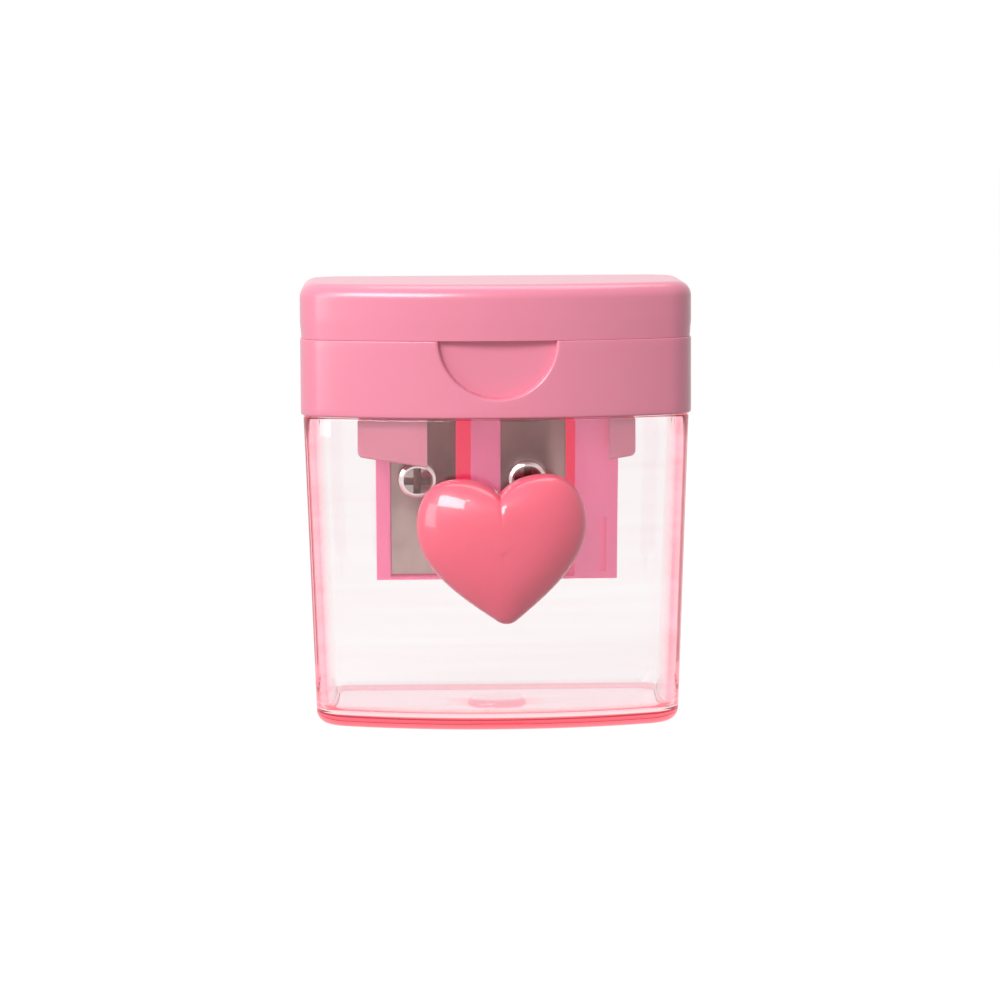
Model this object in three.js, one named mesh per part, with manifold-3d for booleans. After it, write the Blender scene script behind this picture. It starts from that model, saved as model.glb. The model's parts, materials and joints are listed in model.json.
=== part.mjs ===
// A pencil sharpener with two holes. A clear container catches the shavings, a head with the
// sharpening block plugs into its mouth, and a flip lid covers the two pencil holes.
// Millimetres, +Z up, front towards -Y, origin on the table under the middle of the container.
import * as THREE from "three";
import { mergeVertices } from "three/addons/utils/BufferGeometryUtils.js";
import Module from "manifold-3d";

const wasm = await Module();
wasm.setup();

// Whole object
const WIDTH = 48; // collar and lid, side to side
const DEPTH = 28; // collar and lid, front to rear
const CORNER_RADIUS = 5; // plan corners
const BOW_RADIUS = 50; // the front is an arc in plan, and the rear is flat
const CLEARANCE = 0.3; // between pieces that touch or slide

// Heights above the table
const CONTAINER_TOP = 38.1;
const COLLAR_BOTTOM = 38.4;
const COLLAR_TOP = 47.5;
const LID_BOTTOM = 47.8;
const LID_TOP = 54.45;

// Container
const CONTAINER_TOP_WIDTH = 47.4;
const CONTAINER_BOTTOM_WIDTH = 44.7;
const CONTAINER_TOP_SETBACK = 0.3; // how far its front and rear stand inside the collar's
const CONTAINER_FRONT_TAPER = 0.8;
const CONTAINER_REAR_TAPER = 0.5;
const CONTAINER_WALL = 1.4;
const CONTAINER_FLOOR = 1.6;
const CONTAINER_OUTER_FOOT_RADIUS = 1.6;
const CONTAINER_INNER_FOOT_RADIUS = 1.2;
const GATE_DIMPLE_RADIUS = 3.6;
const GATE_DIMPLE_DEPTH = 0.4;

// Collar
const COLLAR_WALL = 1.6;
const COLLAR_DECK = 2.4;
const COLLAR_EDGE_RADIUS = 0.3;
const COLLAR_INNER_RADIUS = 0.4;
const NOTCH_RADIUS = 7.15;
const NOTCH_CENTRE_Z = 47.8;
const NOTCH_DEPTH = 1.7;
const NOTCH_WALL = 1.0;
const TAB_INSET = 2.15; // from the collar's outline to the tabs' outer face
const TAB_THICKNESS = 1.1;
const TABS = [
  { outer: -16.85, inner: -8.5 },
  { outer: 16.7, inner: 13.5 },
];
const TAB_OUTER_BOTTOM = 33.35;
const TAB_BOTTOM_SLOPE = 0.135; // the tabs reach lower towards the middle
const TAB_CORNER_RADIUS = 0.5;
const TAB_ROOT = 3; // how far the tabs run up inside the collar

// Lid and its clip hinge
const LID_WALL = 1.5;
const LID_EDGE_RADIUS = 1.8;
const LID_INNER_RADIUS = 0.8;
const HINGE_AXIS_Z = 49.85;
const HINGE_BARREL_RADIUS = 1.85;
const HINGE_AXIS_Y = DEPTH / 2 - HINGE_BARREL_RADIUS - 0.05;
const HINGE_PIN_RADIUS = 0.8;
const HINGE_BORE_RADIUS = 1.05;
const LUG_RADIUS = 1.6;
const LUG_WIDTH = 3;
const LUG_CENTRE_X = 13.5;
const LUG_MOUTH = 1.4;
const HINGE_KNUCKLE_WIDTH = 3.6;

// Sharpening block
const BLOCK_WIDTH = 29.4;
const BLOCK_BOTTOM = 17.7;
const BLOCK_REAR_TOP = 4.2;
const BLOCK_REAR_BOTTOM = 0.5;
const BLOCK_FLANGE_WIDTH = 1.2; // at the sides and the rear
const BLOCK_FLANGE_FRONT = 0.4;
const BLOCK_FLANGE_THICKNESS = 0.9;
const BLOCK_TOP = COLLAR_TOP - 0.1;
const SEAT_BOTTOM_Z = 18.3; // lower end of the blade seats
const SEAT_BOTTOM_Y = -2.6;
const SEAT_LENGTH = 25.6;
const TILT = THREE.MathUtils.degToRad(11.5); // half the angle of the sharpened point
const SLAB_FRONT = 1.45; // slab in front of the blade seats
const SLAB_REAR = 1.6; // and behind them
const SHELF_THICKNESS = 1.2;
const CUP_WALL = 1.1;
const RIB_THICKNESS = 1.4;
const CONE_TIP_Z = 17.9;
const CONE_END_RADIUS = 0.45;
const HOLE_CHAMFER = 0.4;
const HOLES = [
  { size: "standard", edgeX: -5.0, slotX: -3.17, bore: 4.1 },
  { size: "jumbo", edgeX: 8.4, slotX: 9.5, bore: 5.6 },
];
const SLOT_UNDER_EDGE = 0.07; // the slots reach this far under the cutting edges
const SLOT_BEFORE_AXIS = 0.15; // and end this far in front of the pencils' axis
const SLOT_LIFT = 0.5;
const SLOT_TOP_GAP = 0.3;
const GROOVE = { x: 12.6, width: 0.75, depth: 0.5, bottom: 18.9, height: 7 };

// Blades and their screws
const BLADE_LENGTH = 25;
const BLADE_WIDTH = 7.9;
const BLADE_THICKNESS = 0.6;
const BLADE_BEVEL = 1.5;
const BLADE_EDGE_THICKNESS = 0.05;
const BLADE_GAP = 0.2; // blade off its seat, and screw head off the blade
const BLADE_HOLE_RADIUS = 1.7;
const BLADE_HOLE_FROM_EDGE = 4.7;
const SCREW_HEAD_RADIUS = 2.42;
const SCREW_HEAD_HEIGHT = 1.5;
const SCREW_SHANK_RADIUS = 1.25;
const SCREW_SHANK_LENGTH = 6;
const SCREW_BORE_RADIUS = 1.5;
const SCREW_BOSS_RADIUS = 2.5;
const SCREW_BOSS_FLOOR = 0.6;
const RECESS_ARM = 1.45;
const RECESS_WIDTH = 0.75;
const RECESS_DEPTH = 0.9;

// Heart ornament
const HEART_CENTRE_X = 0.45;
const HEART_CENTRE_Z = 22.45;
const HEART_WIDTH = 20.5;
const HEART_HEIGHT = 18;
const HEART_ROLL = THREE.MathUtils.degToRad(3.2);
const HEART_DOME = 4.8;
const HEART_DOME_END = THREE.MathUtils.degToRad(79); // where the dome's last ring stops
const HEART_SIDE = 0.16; // share of the dome's height that its side takes up
const HEART_BACK_SCALE = 0.93; // the back is a little smaller than the outline
const HEART_BACK_Y = -14.4; // front face of its adhesive pad
const PAD_RADIUS = 5;

const UP_FROM_SHAPE = Math.PI / 2; // turns a shape's own +Y up to the part's +Z

// ---------------------------------------------------------------- solids

/** A closed geometry as a manifold, its faces turned to point out. */
function solid(geometry) {
  const bare = geometry.clone();
  bare.deleteAttribute("normal");
  bare.deleteAttribute("uv");
  const merged = mergeVertices(bare);
  const points = merged.getAttribute("position").array;
  const corners = merged.getIndex().array;
  const triangles = [];
  let volume = 0;
  for (let i = 0; i < corners.length; i += 3) {
    const [a, b, c] = corners.slice(i, i + 3);
    if (a === b || b === c || c === a) continue;
    triangles.push(a, b, c);
    const [p, q, r] = [a, b, c].map((k) => new THREE.Vector3().fromArray(points, 3 * k));
    volume += p.dot(q.cross(r));
  }
  if (volume < 0) triangles.reverse();
  const vertProperties = new Float32Array(points);
  const triVerts = new Uint32Array(triangles);
  return new wasm.Manifold(new wasm.Mesh({ numProp: 3, vertProperties, triVerts }));
}

/** A manifold as a geometry. */
function toGeometry(manifold) {
  const mesh = manifold.getMesh();
  const geometry = new THREE.BufferGeometry();
  geometry.setAttribute("position", new THREE.BufferAttribute(mesh.vertProperties, 3));
  geometry.setIndex(new THREE.BufferAttribute(mesh.triVerts, 1));
  return geometry;
}

/** The first geometry with all the others joined to it. */
function join(first, ...others) {
  return toGeometry(others.reduce((whole, other) => whole.add(solid(other)), solid(first)));
}

/** The first geometry with all the others cut from it. */
function cut(first, ...others) {
  return toGeometry(others.reduce((whole, other) => whole.subtract(solid(other)), solid(first)));
}

/** What two geometries share. */
function common(first, second) {
  return toGeometry(solid(first).intersect(solid(second)));
}

/** A box between two corners. */
function box([x0, y0, z0], [x1, y1, z1]) {
  const geometry = new THREE.BoxGeometry(x1 - x0, y1 - y0, z1 - z0);
  return geometry.translate((x0 + x1) / 2, (y0 + y1) / 2, (z0 + z1) / 2);
}

/** A round bar along X from one x to another, about the line at y, z. */
function barX(radius, x0, x1, y, z, segments = 28) {
  const geometry = new THREE.CylinderGeometry(radius, radius, x1 - x0, segments);
  return geometry.rotateZ(Math.PI / 2).translate((x0 + x1) / 2, y, z);
}

/** A round bar along Y, from front to rear. */
function barY(radius, y0, y1, x, z, segments = 28) {
  const geometry = new THREE.CylinderGeometry(radius, radius, y1 - y0, segments);
  return geometry.translate(x, (y0 + y1) / 2, z);
}

/** A profile of (radius, height) points turned about the upright line at x, y. */
function turned(points, x = 0, y = 0, segments = 40) {
  const profile = points.map(([radius, height]) => new THREE.Vector2(radius, height));
  const geometry = new THREE.LatheGeometry(profile, segments);
  return geometry.rotateX(UP_FROM_SHAPE).translate(x, y, 0);
}

/** A side profile of (y, z) points, as thick as from x0 to x1. */
function sideProfile(points, x0, x1) {
  const shape = new THREE.Shape(points.map(([y, z]) => new THREE.Vector2(y, z)));
  const geometry = new THREE.ExtrudeGeometry(shape, { depth: x1 - x0, bevelEnabled: false });
  const toSide = new THREE.Matrix4().set(0, 0, 1, x0, 1, 0, 0, 0, 0, 1, 0, 0, 0, 0, 0, 1);
  return geometry.applyMatrix4(toSide);
}

/** A front outline in (x, z), as deep as from y0 back to y1. */
function frontProfile(shape, y0, y1, curveSegments = 12) {
  const settings = { depth: y1 - y0, bevelEnabled: false, curveSegments };
  const geometry = new THREE.ExtrudeGeometry(shape, settings);
  return geometry.rotateX(UP_FROM_SHAPE).translate(0, y1, 0);
}

/** The closed body through a stack of level rings with the same number of points. */
function loft(rings) {
  const count = rings[0].points.length;
  const positions = rings.flatMap(({ points, z }) => points.flatMap((p) => [p.x, p.y, z]));
  const triangles = [];
  for (let level = 0; level < rings.length - 1; level += 1) {
    for (let i = 0; i < count; i += 1) {
      const a = level * count + i;
      const b = level * count + ((i + 1) % count);
      triangles.push(a, b, b + count, a, b + count, a + count);
    }
  }
  const top = count * (rings.length - 1);
  const lastPoints = rings[rings.length - 1].points;
  for (const [a, b, c] of THREE.ShapeUtils.triangulateShape(rings[0].points, [])) {
    triangles.push(c, b, a);
  }
  for (const [a, b, c] of THREE.ShapeUtils.triangulateShape(lastPoints, [])) {
    triangles.push(top + a, top + b, top + c);
  }
  const geometry = new THREE.BufferGeometry();
  geometry.setAttribute("position", new THREE.Float32BufferAttribute(positions, 3));
  geometry.setIndex(triangles);
  return geometry;
}

// ---------------------------------------------------------------- plan outlines

/** Points on an arc about a centre, both ends included. */
function arc(centre, radius, from, to, steps) {
  const points = [];
  for (let i = 0; i <= steps; i += 1) {
    const angle = THREE.MathUtils.lerp(from, to, i / steps);
    const offset = new THREE.Vector2(Math.cos(angle), Math.sin(angle)).multiplyScalar(radius);
    points.push(offset.add(centre));
  }
  return points;
}

/** The plan outline, counter-clockwise: straight sides, flat rear, bowed front, round corners. */
function planOutline({ halfWidth, front, rear }, inset = 0) {
  const corner = CORNER_RADIUS - inset;
  const cornerX = halfWidth - CORNER_RADIUS;
  const bowCentre = new THREE.Vector2(0, front + BOW_RADIUS);
  const frontCornerY = bowCentre.y - Math.sqrt((BOW_RADIUS - CORNER_RADIUS) ** 2 - cornerX ** 2);
  const rearCornerY = rear - CORNER_RADIUS;
  const meet = Math.atan2(frontCornerY - bowCentre.y, cornerX);
  const quarter = Math.PI / 2;
  const cornerSteps = 6;
  const bowSteps = 12;
  return [
    ...arc(new THREE.Vector2(cornerX, frontCornerY), corner, meet, 0, cornerSteps),
    ...arc(new THREE.Vector2(cornerX, rearCornerY), corner, 0, quarter, cornerSteps),
    ...arc(new THREE.Vector2(-cornerX, rearCornerY), corner, quarter, Math.PI, cornerSteps),
    ...arc(new THREE.Vector2(-cornerX, frontCornerY), corner, Math.PI, Math.PI - meet, cornerSteps),
    ...arc(bowCentre, BOW_RADIUS - inset, -Math.PI - meet, meet, bowSteps).slice(1, -1),
  ];
}

/** Insets and rises of a quarter round, from the level face (full inset) to the upright one. */
function quarterRound(radius, steps) {
  return Array.from({ length: steps + 1 }, (_, i) => {
    const angle = (i / steps) * (Math.PI / 2);
    return { inset: radius * (1 - Math.sin(angle)), rise: radius * (1 - Math.cos(angle)) };
  });
}

const COLLAR_PLAN = { halfWidth: WIDTH / 2, front: -DEPTH / 2, rear: DEPTH / 2 };

/** The container's plan at a height: it narrows towards the table. */
function containerPlan(z) {
  const t = z / CONTAINER_TOP;
  const front = -DEPTH / 2 + CONTAINER_TOP_SETBACK;
  const rear = DEPTH / 2 - CONTAINER_TOP_SETBACK;
  return {
    halfWidth: THREE.MathUtils.lerp(CONTAINER_BOTTOM_WIDTH, CONTAINER_TOP_WIDTH, t) / 2,
    front: front + CONTAINER_FRONT_TAPER * (1 - t),
    rear: rear - CONTAINER_REAR_TAPER * (1 - t),
  };
}

/** An upright block on a fixed plan, inset from it, with its upper edge rounded. */
function roundedCap(plan, inset, bottom, top, radius) {
  const rings = [{ points: planOutline(plan, inset), z: bottom }];
  for (const edge of quarterRound(radius, 4).reverse()) {
    rings.push({ points: planOutline(plan, inset + edge.inset), z: top - edge.rise });
  }
  return loft(rings);
}

/** A tapering block on the container's plan, inset from it, with its lower edge rounded. */
function roundedTub(inset, bottom, top, radius) {
  const rings = quarterRound(radius, 4).map((edge) => {
    const z = bottom + edge.rise;
    return { points: planOutline(containerPlan(z), inset + edge.inset), z };
  });
  rings.push({ points: planOutline(containerPlan(top), inset), z: top });
  return loft(rings);
}

// ---------------------------------------------------------------- container and heart

function makeContainer() {
  const outer = roundedTub(0, 0, CONTAINER_TOP, CONTAINER_OUTER_FOOT_RADIUS);
  const above = CONTAINER_TOP + 1;
  const inner = roundedTub(CONTAINER_WALL, CONTAINER_FLOOR, above, CONTAINER_INNER_FOOT_RADIUS);
  const dimpleFloor = CONTAINER_FLOOR - GATE_DIMPLE_DEPTH;
  const dimple = turned([
    [0, dimpleFloor],
    [GATE_DIMPLE_RADIUS - GATE_DIMPLE_DEPTH, dimpleFloor],
    [GATE_DIMPLE_RADIUS + GATE_DIMPLE_DEPTH, CONTAINER_FLOOR + GATE_DIMPLE_DEPTH],
    [0, CONTAINER_FLOOR + GATE_DIMPLE_DEPTH],
  ]);
  return cut(outer, inner, dimple);
}

/** The heart's outline about its own middle: two round lobes, a cleft and a blunt tip. */
function heartShape() {
  const w = HEART_WIDTH / 2;
  const top = HEART_HEIGHT / 2;
  const shape = new THREE.Shape();
  shape.moveTo(0, top * 0.77);
  shape.bezierCurveTo(-w * 0.16, top * 0.98, -w * 0.38, top, -w * 0.53, top);
  shape.bezierCurveTo(-w * 0.84, top, -w, top * 0.7, -w, top * 0.34);
  shape.bezierCurveTo(-w, -top * 0.22, -w * 0.45, -top * 0.66, -w * 0.14, -top * 0.93);
  shape.bezierCurveTo(-w * 0.07, -top * 1.02, w * 0.07, -top * 1.02, w * 0.14, -top * 0.93);
  shape.bezierCurveTo(w * 0.45, -top * 0.66, w, -top * 0.22, w, top * 0.34);
  shape.bezierCurveTo(w, top * 0.7, w * 0.84, top, w * 0.53, top);
  shape.bezierCurveTo(w * 0.38, top, w * 0.16, top * 0.98, 0, top * 0.77);
  return shape;
}

/** A puffy heart with a flat back: the outline shrinks as the dome rises. */
function makeHeart() {
  const outline = heartShape().getPoints(7).slice(0, -1);
  const levels = 6;
  const back = outline.map((p) => p.clone().multiplyScalar(HEART_BACK_SCALE));
  const rings = [{ points: back, z: 0 }];
  for (let i = 0; i <= levels; i += 1) {
    const angle = (i / levels) * HEART_DOME_END;
    const points = outline.map((p) => p.clone().multiplyScalar(Math.cos(angle)));
    const rise = Math.sin(angle) / Math.sin(HEART_DOME_END);
    rings.push({ points, z: HEART_DOME * THREE.MathUtils.lerp(HEART_SIDE, 1, rise) });
  }
  return loft(rings);
}

/** The foam pad that glues the heart's flat back to the bowed front wall. */
function makePad() {
  const disc = barY(PAD_RADIUS, HEART_BACK_Y, -DEPTH / 4, HEART_CENTRE_X, HEART_CENTRE_Z);
  return cut(disc, roundedTub(-CLEARANCE, 0, CONTAINER_TOP, CONTAINER_OUTER_FOOT_RADIUS));
}

// ---------------------------------------------------------------- collar and lid

function makeCollar() {
  const deckUnderside = COLLAR_TOP - COLLAR_DECK;
  const shell = roundedCap(COLLAR_PLAN, 0, COLLAR_BOTTOM, COLLAR_TOP, COLLAR_EDGE_RADIUS);
  const below = COLLAR_BOTTOM - 1;
  const hollow = roundedCap(COLLAR_PLAN, COLLAR_WALL, below, deckUnderside, COLLAR_INNER_RADIUS);
  const lugs = [-1, 1].map((side) => makeHingeLug(side * LUG_CENTRE_X));
  const filled = join(cut(shell, hollow), makeNotchBacking(), makeTabs(), ...lugs);
  return cut(filled, makeNotch(NOTCH_RADIUS, -DEPTH, notchFloorY()), ...makeBlockWell());
}

function notchFloorY() {
  return -DEPTH / 2 + NOTCH_DEPTH;
}

/** A half disc under the lid's edge, as deep as from y0 back to y1. */
function makeNotch(radius, y0, y1) {
  const shape = new THREE.Shape();
  const above = COLLAR_TOP + 1;
  shape.moveTo(-radius, above);
  shape.lineTo(-radius, NOTCH_CENTRE_Z);
  shape.absarc(0, NOTCH_CENTRE_Z, radius, Math.PI, 2 * Math.PI, false);
  shape.lineTo(radius, above);
  return frontProfile(shape, y0, y1, 20);
}

/** The wall that closes the finger notch at the back. */
function makeNotchBacking() {
  const rear = notchFloorY() + NOTCH_WALL;
  const front = -DEPTH / 2 + COLLAR_WALL / 2;
  const backing = makeNotch(NOTCH_RADIUS + NOTCH_WALL, front, rear);
  const within = loft([
    { points: planOutline(COLLAR_PLAN, COLLAR_WALL / 2), z: COLLAR_BOTTOM },
    { points: planOutline(COLLAR_PLAN, COLLAR_WALL / 2), z: COLLAR_TOP - COLLAR_DECK / 2 },
  ]);
  return common(backing, within);
}

/** The two tongues of the collar that plug inside the container's front wall. */
function makeTabs() {
  const reach = COLLAR_BOTTOM + TAB_ROOT;
  const root = COLLAR_BOTTOM + CLEARANCE;
  const ring = (inset, z0, z1) =>
    loft([
      { points: planOutline(COLLAR_PLAN, inset), z: z0 },
      { points: planOutline(COLLAR_PLAN, inset), z: z1 },
    ]);
  const hollow = ring(TAB_INSET + TAB_THICKNESS, 0, reach + 1);
  const sleeve = cut(join(ring(TAB_INSET, 0, reach), ring(COLLAR_WALL / 2, root, reach)), hollow);
  const wedges = TABS.map(({ outer, inner }) => {
    const bottomAtInner = TAB_OUTER_BOTTOM - TAB_BOTTOM_SLOPE * Math.abs(outer - inner);
    const corner = TAB_CORNER_RADIUS * Math.sign(outer - inner);
    const shape = new THREE.Shape();
    shape.moveTo(outer, reach);
    shape.lineTo(outer, TAB_OUTER_BOTTOM + TAB_CORNER_RADIUS);
    shape.quadraticCurveTo(outer, TAB_OUTER_BOTTOM, outer - corner, TAB_OUTER_BOTTOM);
    shape.lineTo(inner, bottomAtInner);
    shape.lineTo(inner, reach);
    return frontProfile(shape, -DEPTH, 0, 4);
  });
  return common(sleeve, join(...wedges));
}

/** An upright lug with a bore that is open at the top, for the lid's pin to snap into. */
function makeHingeLug(x) {
  const [x0, x1] = [x - LUG_WIDTH / 2, x + LUG_WIDTH / 2];
  const foot = COLLAR_TOP - COLLAR_DECK / 2;
  const [front, rear] = [HINGE_AXIS_Y - LUG_RADIUS, HINGE_AXIS_Y + LUG_RADIUS];
  const post = box([x0, front, foot], [x1, rear, HINGE_AXIS_Z]);
  const head = barX(LUG_RADIUS, x0, x1, HINGE_AXIS_Y, HINGE_AXIS_Z);
  const bore = barX(HINGE_BORE_RADIUS, x0 - 1, x1 + 1, HINGE_AXIS_Y, HINGE_AXIS_Z);
  const half = LUG_MOUTH / 2;
  const mouthTop = HINGE_AXIS_Z + 3;
  const mouth = box(
    [x0 - 1, HINGE_AXIS_Y - half, HINGE_AXIS_Z],
    [x1 + 1, HINGE_AXIS_Y + half, mouthTop],
  );
  return cut(join(post, head), bore, mouth);
}

/** The stepped opening in the deck that the sharpening block drops into. */
function makeBlockWell() {
  const half = BLOCK_WIDTH / 2;
  const ledge = COLLAR_TOP - BLOCK_FLANGE_THICKNESS - CLEARANCE;
  const front = blockFrontY(ledge);
  const through = box(
    [-half - CLEARANCE, front - CLEARANCE, COLLAR_BOTTOM],
    [half + CLEARANCE, BLOCK_REAR_TOP + CLEARANCE, COLLAR_TOP + 1],
  );
  const edge = BLOCK_FLANGE_WIDTH + CLEARANCE;
  const rebate = box(
    [-half - edge, front - BLOCK_FLANGE_FRONT - CLEARANCE, ledge],
    [half + edge, BLOCK_REAR_TOP + edge, COLLAR_TOP + 1],
  );
  return [through, rebate];
}

function makeLid() {
  const outer = roundedCap(COLLAR_PLAN, 0, LID_BOTTOM, LID_TOP, LID_EDGE_RADIUS);
  const inner = roundedCap(COLLAR_PLAN, LID_WALL, 0, LID_TOP - LID_WALL, LID_INNER_RADIUS);
  const reach = WIDTH;
  const corner = box([-reach, HINGE_AXIS_Y, LID_BOTTOM - 1], [reach, DEPTH, HINGE_AXIS_Z]);
  const roll = barX(HINGE_BARREL_RADIUS + 0.04, -reach, reach, HINGE_AXIS_Y, HINGE_AXIS_Z, 48);
  const windows = [-1, 1].map((side) => makeLugWindow(side * LUG_CENTRE_X));
  const pins = [-1, 1].flatMap((side) => makeLidPin(side * LUG_CENTRE_X));
  return join(cut(outer, inner, cut(corner, roll), ...windows), ...pins);
}

/** The window in the lid's rear wall that a lug stands in. */
function makeLugWindow(x) {
  const half = LUG_WIDTH / 2 + CLEARANCE;
  const reach = LUG_RADIUS + CLEARANCE + 0.1;
  return box(
    [x - half, HINGE_AXIS_Y - reach, LID_BOTTOM - 1],
    [x + half, DEPTH, HINGE_AXIS_Z + reach],
  );
}

/** A pin across the window, between two round knuckles. */
function makeLidPin(x) {
  const half = LUG_WIDTH / 2 + CLEARANCE;
  const end = half + HINGE_KNUCKLE_WIDTH;
  const pin = barX(HINGE_PIN_RADIUS, x - end, x + end, HINGE_AXIS_Y, HINGE_AXIS_Z, 24);
  const knuckle = (x0, x1) => barX(HINGE_BARREL_RADIUS, x0, x1, HINGE_AXIS_Y, HINGE_AXIS_Z);
  return [pin, knuckle(x - end, x - half), knuckle(x + half, x + end)];
}

// ---------------------------------------------------------------- sharpening block

/** The y of the blade seats' plane at a height. */
function seatY(z) {
  return SEAT_BOTTOM_Y - (z - SEAT_BOTTOM_Z) * Math.tan(TILT);
}

/** The y of the block's front face at a height. */
function blockFrontY(z) {
  return seatY(z) - SLAB_FRONT / Math.cos(TILT);
}

const CONE_AXIS_Y = seatY(CONE_TIP_Z) - BLADE_GAP / Math.cos(TILT);

/** The height at which a pencil cone reaches a radius. */
function coneHeight(radius) {
  return CONE_TIP_Z + radius / Math.tan(TILT);
}

/** The space that a pencil takes in a hole: its cone, its body and the chamfered mouth. */
function makePencilSpace({ edgeX, bore }) {
  return turned(
    [
      [0, coneHeight(CONE_END_RADIUS)],
      [CONE_END_RADIUS, coneHeight(CONE_END_RADIUS)],
      [bore, coneHeight(bore)],
      [bore, BLOCK_TOP - HOLE_CHAMFER],
      [bore + HOLE_CHAMFER + 1, BLOCK_TOP + 1],
      [0, BLOCK_TOP + 1],
    ],
    edgeX,
    CONE_AXIS_Y,
  );
}

/** The moulded cup round a pencil cone, wider than it by the wall. */
function makeCup({ edgeX, bore }) {
  const outer = bore + CUP_WALL;
  return turned(
    [
      [0, BLOCK_BOTTOM - 1],
      [CONE_END_RADIUS + CUP_WALL, BLOCK_BOTTOM - 1],
      [CONE_END_RADIUS + CUP_WALL, coneHeight(CONE_END_RADIUS)],
      [outer, coneHeight(bore)],
      [outer, COLLAR_TOP],
      [0, COLLAR_TOP],
    ],
    edgeX,
    CONE_AXIS_Y,
  );
}

/** A geometry given in the blades' own frame: leaned forward, at the lower end of a seat. */
function onSeat(geometry, x = 0) {
  return geometry.rotateX(TILT).translate(x, SEAT_BOTTOM_Y, SEAT_BOTTOM_Z);
}

/** The side profile of the ribs and the shelf behind the leaning slab. */
function ribProfile(top) {
  const inSlab = SLAB_REAR / 2;
  return [
    [seatY(BLOCK_BOTTOM) + inSlab, BLOCK_BOTTOM],
    [BLOCK_REAR_BOTTOM, BLOCK_BOTTOM],
    [BLOCK_REAR_TOP, top],
    [seatY(top) + inSlab, top],
  ];
}

function makeBlock() {
  const half = BLOCK_WIDTH / 2;
  const flangeBottom = COLLAR_TOP - BLOCK_FLANGE_THICKNESS;
  const inFlange = flangeBottom + BLOCK_FLANGE_THICKNESS / 3;
  const slab = onSeat(box([-half, -SLAB_FRONT, -5], [half, SLAB_REAR, 40]));
  const middle = (HOLES[0].slotX + HOLES[1].edgeX - BLADE_WIDTH) / 2;
  const ribStarts = [-half, middle - RIB_THICKNESS / 2, half - RIB_THICKNESS];
  const ribs = ribStarts.map((x) => sideProfile(ribProfile(inFlange), x, x + RIB_THICKNESS));
  const shelf = sideProfile(ribProfile(BLOCK_BOTTOM + SHELF_THICKNESS), -half, half);
  const body = join(slab, ...ribs, shelf, ...HOLES.map(makeCup), ...HOLES.map(makeScrewBoss));
  const envelope = box([-half, -DEPTH, BLOCK_BOTTOM], [half, BLOCK_REAR_TOP, inFlange]);
  const edge = BLOCK_FLANGE_WIDTH;
  const flange = box(
    [-half - edge, blockFrontY(flangeBottom) - BLOCK_FLANGE_FRONT, flangeBottom],
    [half + edge, BLOCK_REAR_TOP + edge, BLOCK_TOP],
  );
  const openings = HOLES.flatMap((hole) => [
    makePencilSpace(hole),
    makeSeat(hole),
    makeSlot(hole),
    makeScrewBore(hole),
  ]);
  return cut(join(common(body, envelope), flange), ...openings, makeGroove());
}

/** The seat of a blade, open at the front. */
function makeSeat({ edgeX, slotX }) {
  const left = -BLADE_WIDTH - BLADE_GAP / 2;
  return onSeat(box([left, -5, 0], [slotX - edgeX, 0, SEAT_LENGTH]), edgeX);
}

/** The slot beside a blade's edge, where the shavings come out. */
function makeSlot({ edgeX, slotX }) {
  const bottom = SEAT_BOTTOM_Z + SLOT_LIFT;
  const top = SEAT_BOTTOM_Z + SEAT_LENGTH * Math.cos(TILT) - SLOT_TOP_GAP;
  return box(
    [edgeX - SLOT_UNDER_EDGE, -DEPTH, bottom],
    [slotX, CONE_AXIS_Y - SLOT_BEFORE_AXIS, top],
  );
}

function makeScrewBoss({ edgeX }) {
  const z = BLADE_GAP + BLADE_LENGTH / 2;
  const depth = SCREW_SHANK_LENGTH + SCREW_BOSS_FLOOR;
  return onSeat(barY(SCREW_BOSS_RADIUS, SLAB_REAR / 2, depth, -BLADE_HOLE_FROM_EDGE, z), edgeX);
}

function makeScrewBore({ edgeX }) {
  const z = BLADE_GAP + BLADE_LENGTH / 2;
  return onSeat(barY(SCREW_BORE_RADIUS, -5, SCREW_SHANK_LENGTH, -BLADE_HOLE_FROM_EDGE, z, 20), edgeX);
}

/** A shallow moulded groove low on the right cheek. */
function makeGroove() {
  const rise = GROOVE.bottom - SEAT_BOTTOM_Z;
  return onSeat(
    box(
      [GROOVE.x, -SLAB_FRONT - 1, rise],
      [GROOVE.x + GROOVE.width, -SLAB_FRONT + GROOVE.depth, rise + GROOVE.height],
    ),
  );
}

// ---------------------------------------------------------------- blades and screws

/** A flat blade with one ground bevel and a round hole, its edge at x = 0. */
function makeBlade() {
  const rear = -BLADE_GAP;
  const front = rear - BLADE_THICKNESS;
  const shape = new THREE.Shape([
    new THREE.Vector2(-BLADE_WIDTH, front),
    new THREE.Vector2(-BLADE_BEVEL, front),
    new THREE.Vector2(0, rear - BLADE_EDGE_THICKNESS),
    new THREE.Vector2(0, rear),
    new THREE.Vector2(-BLADE_WIDTH, rear),
  ]);
  const geometry = new THREE.ExtrudeGeometry(shape, { depth: BLADE_LENGTH, bevelEnabled: false });
  const hole = barY(BLADE_HOLE_RADIUS, -3, 3, -BLADE_HOLE_FROM_EDGE, BLADE_LENGTH / 2, 32);
  return cut(geometry, hole);
}

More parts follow.
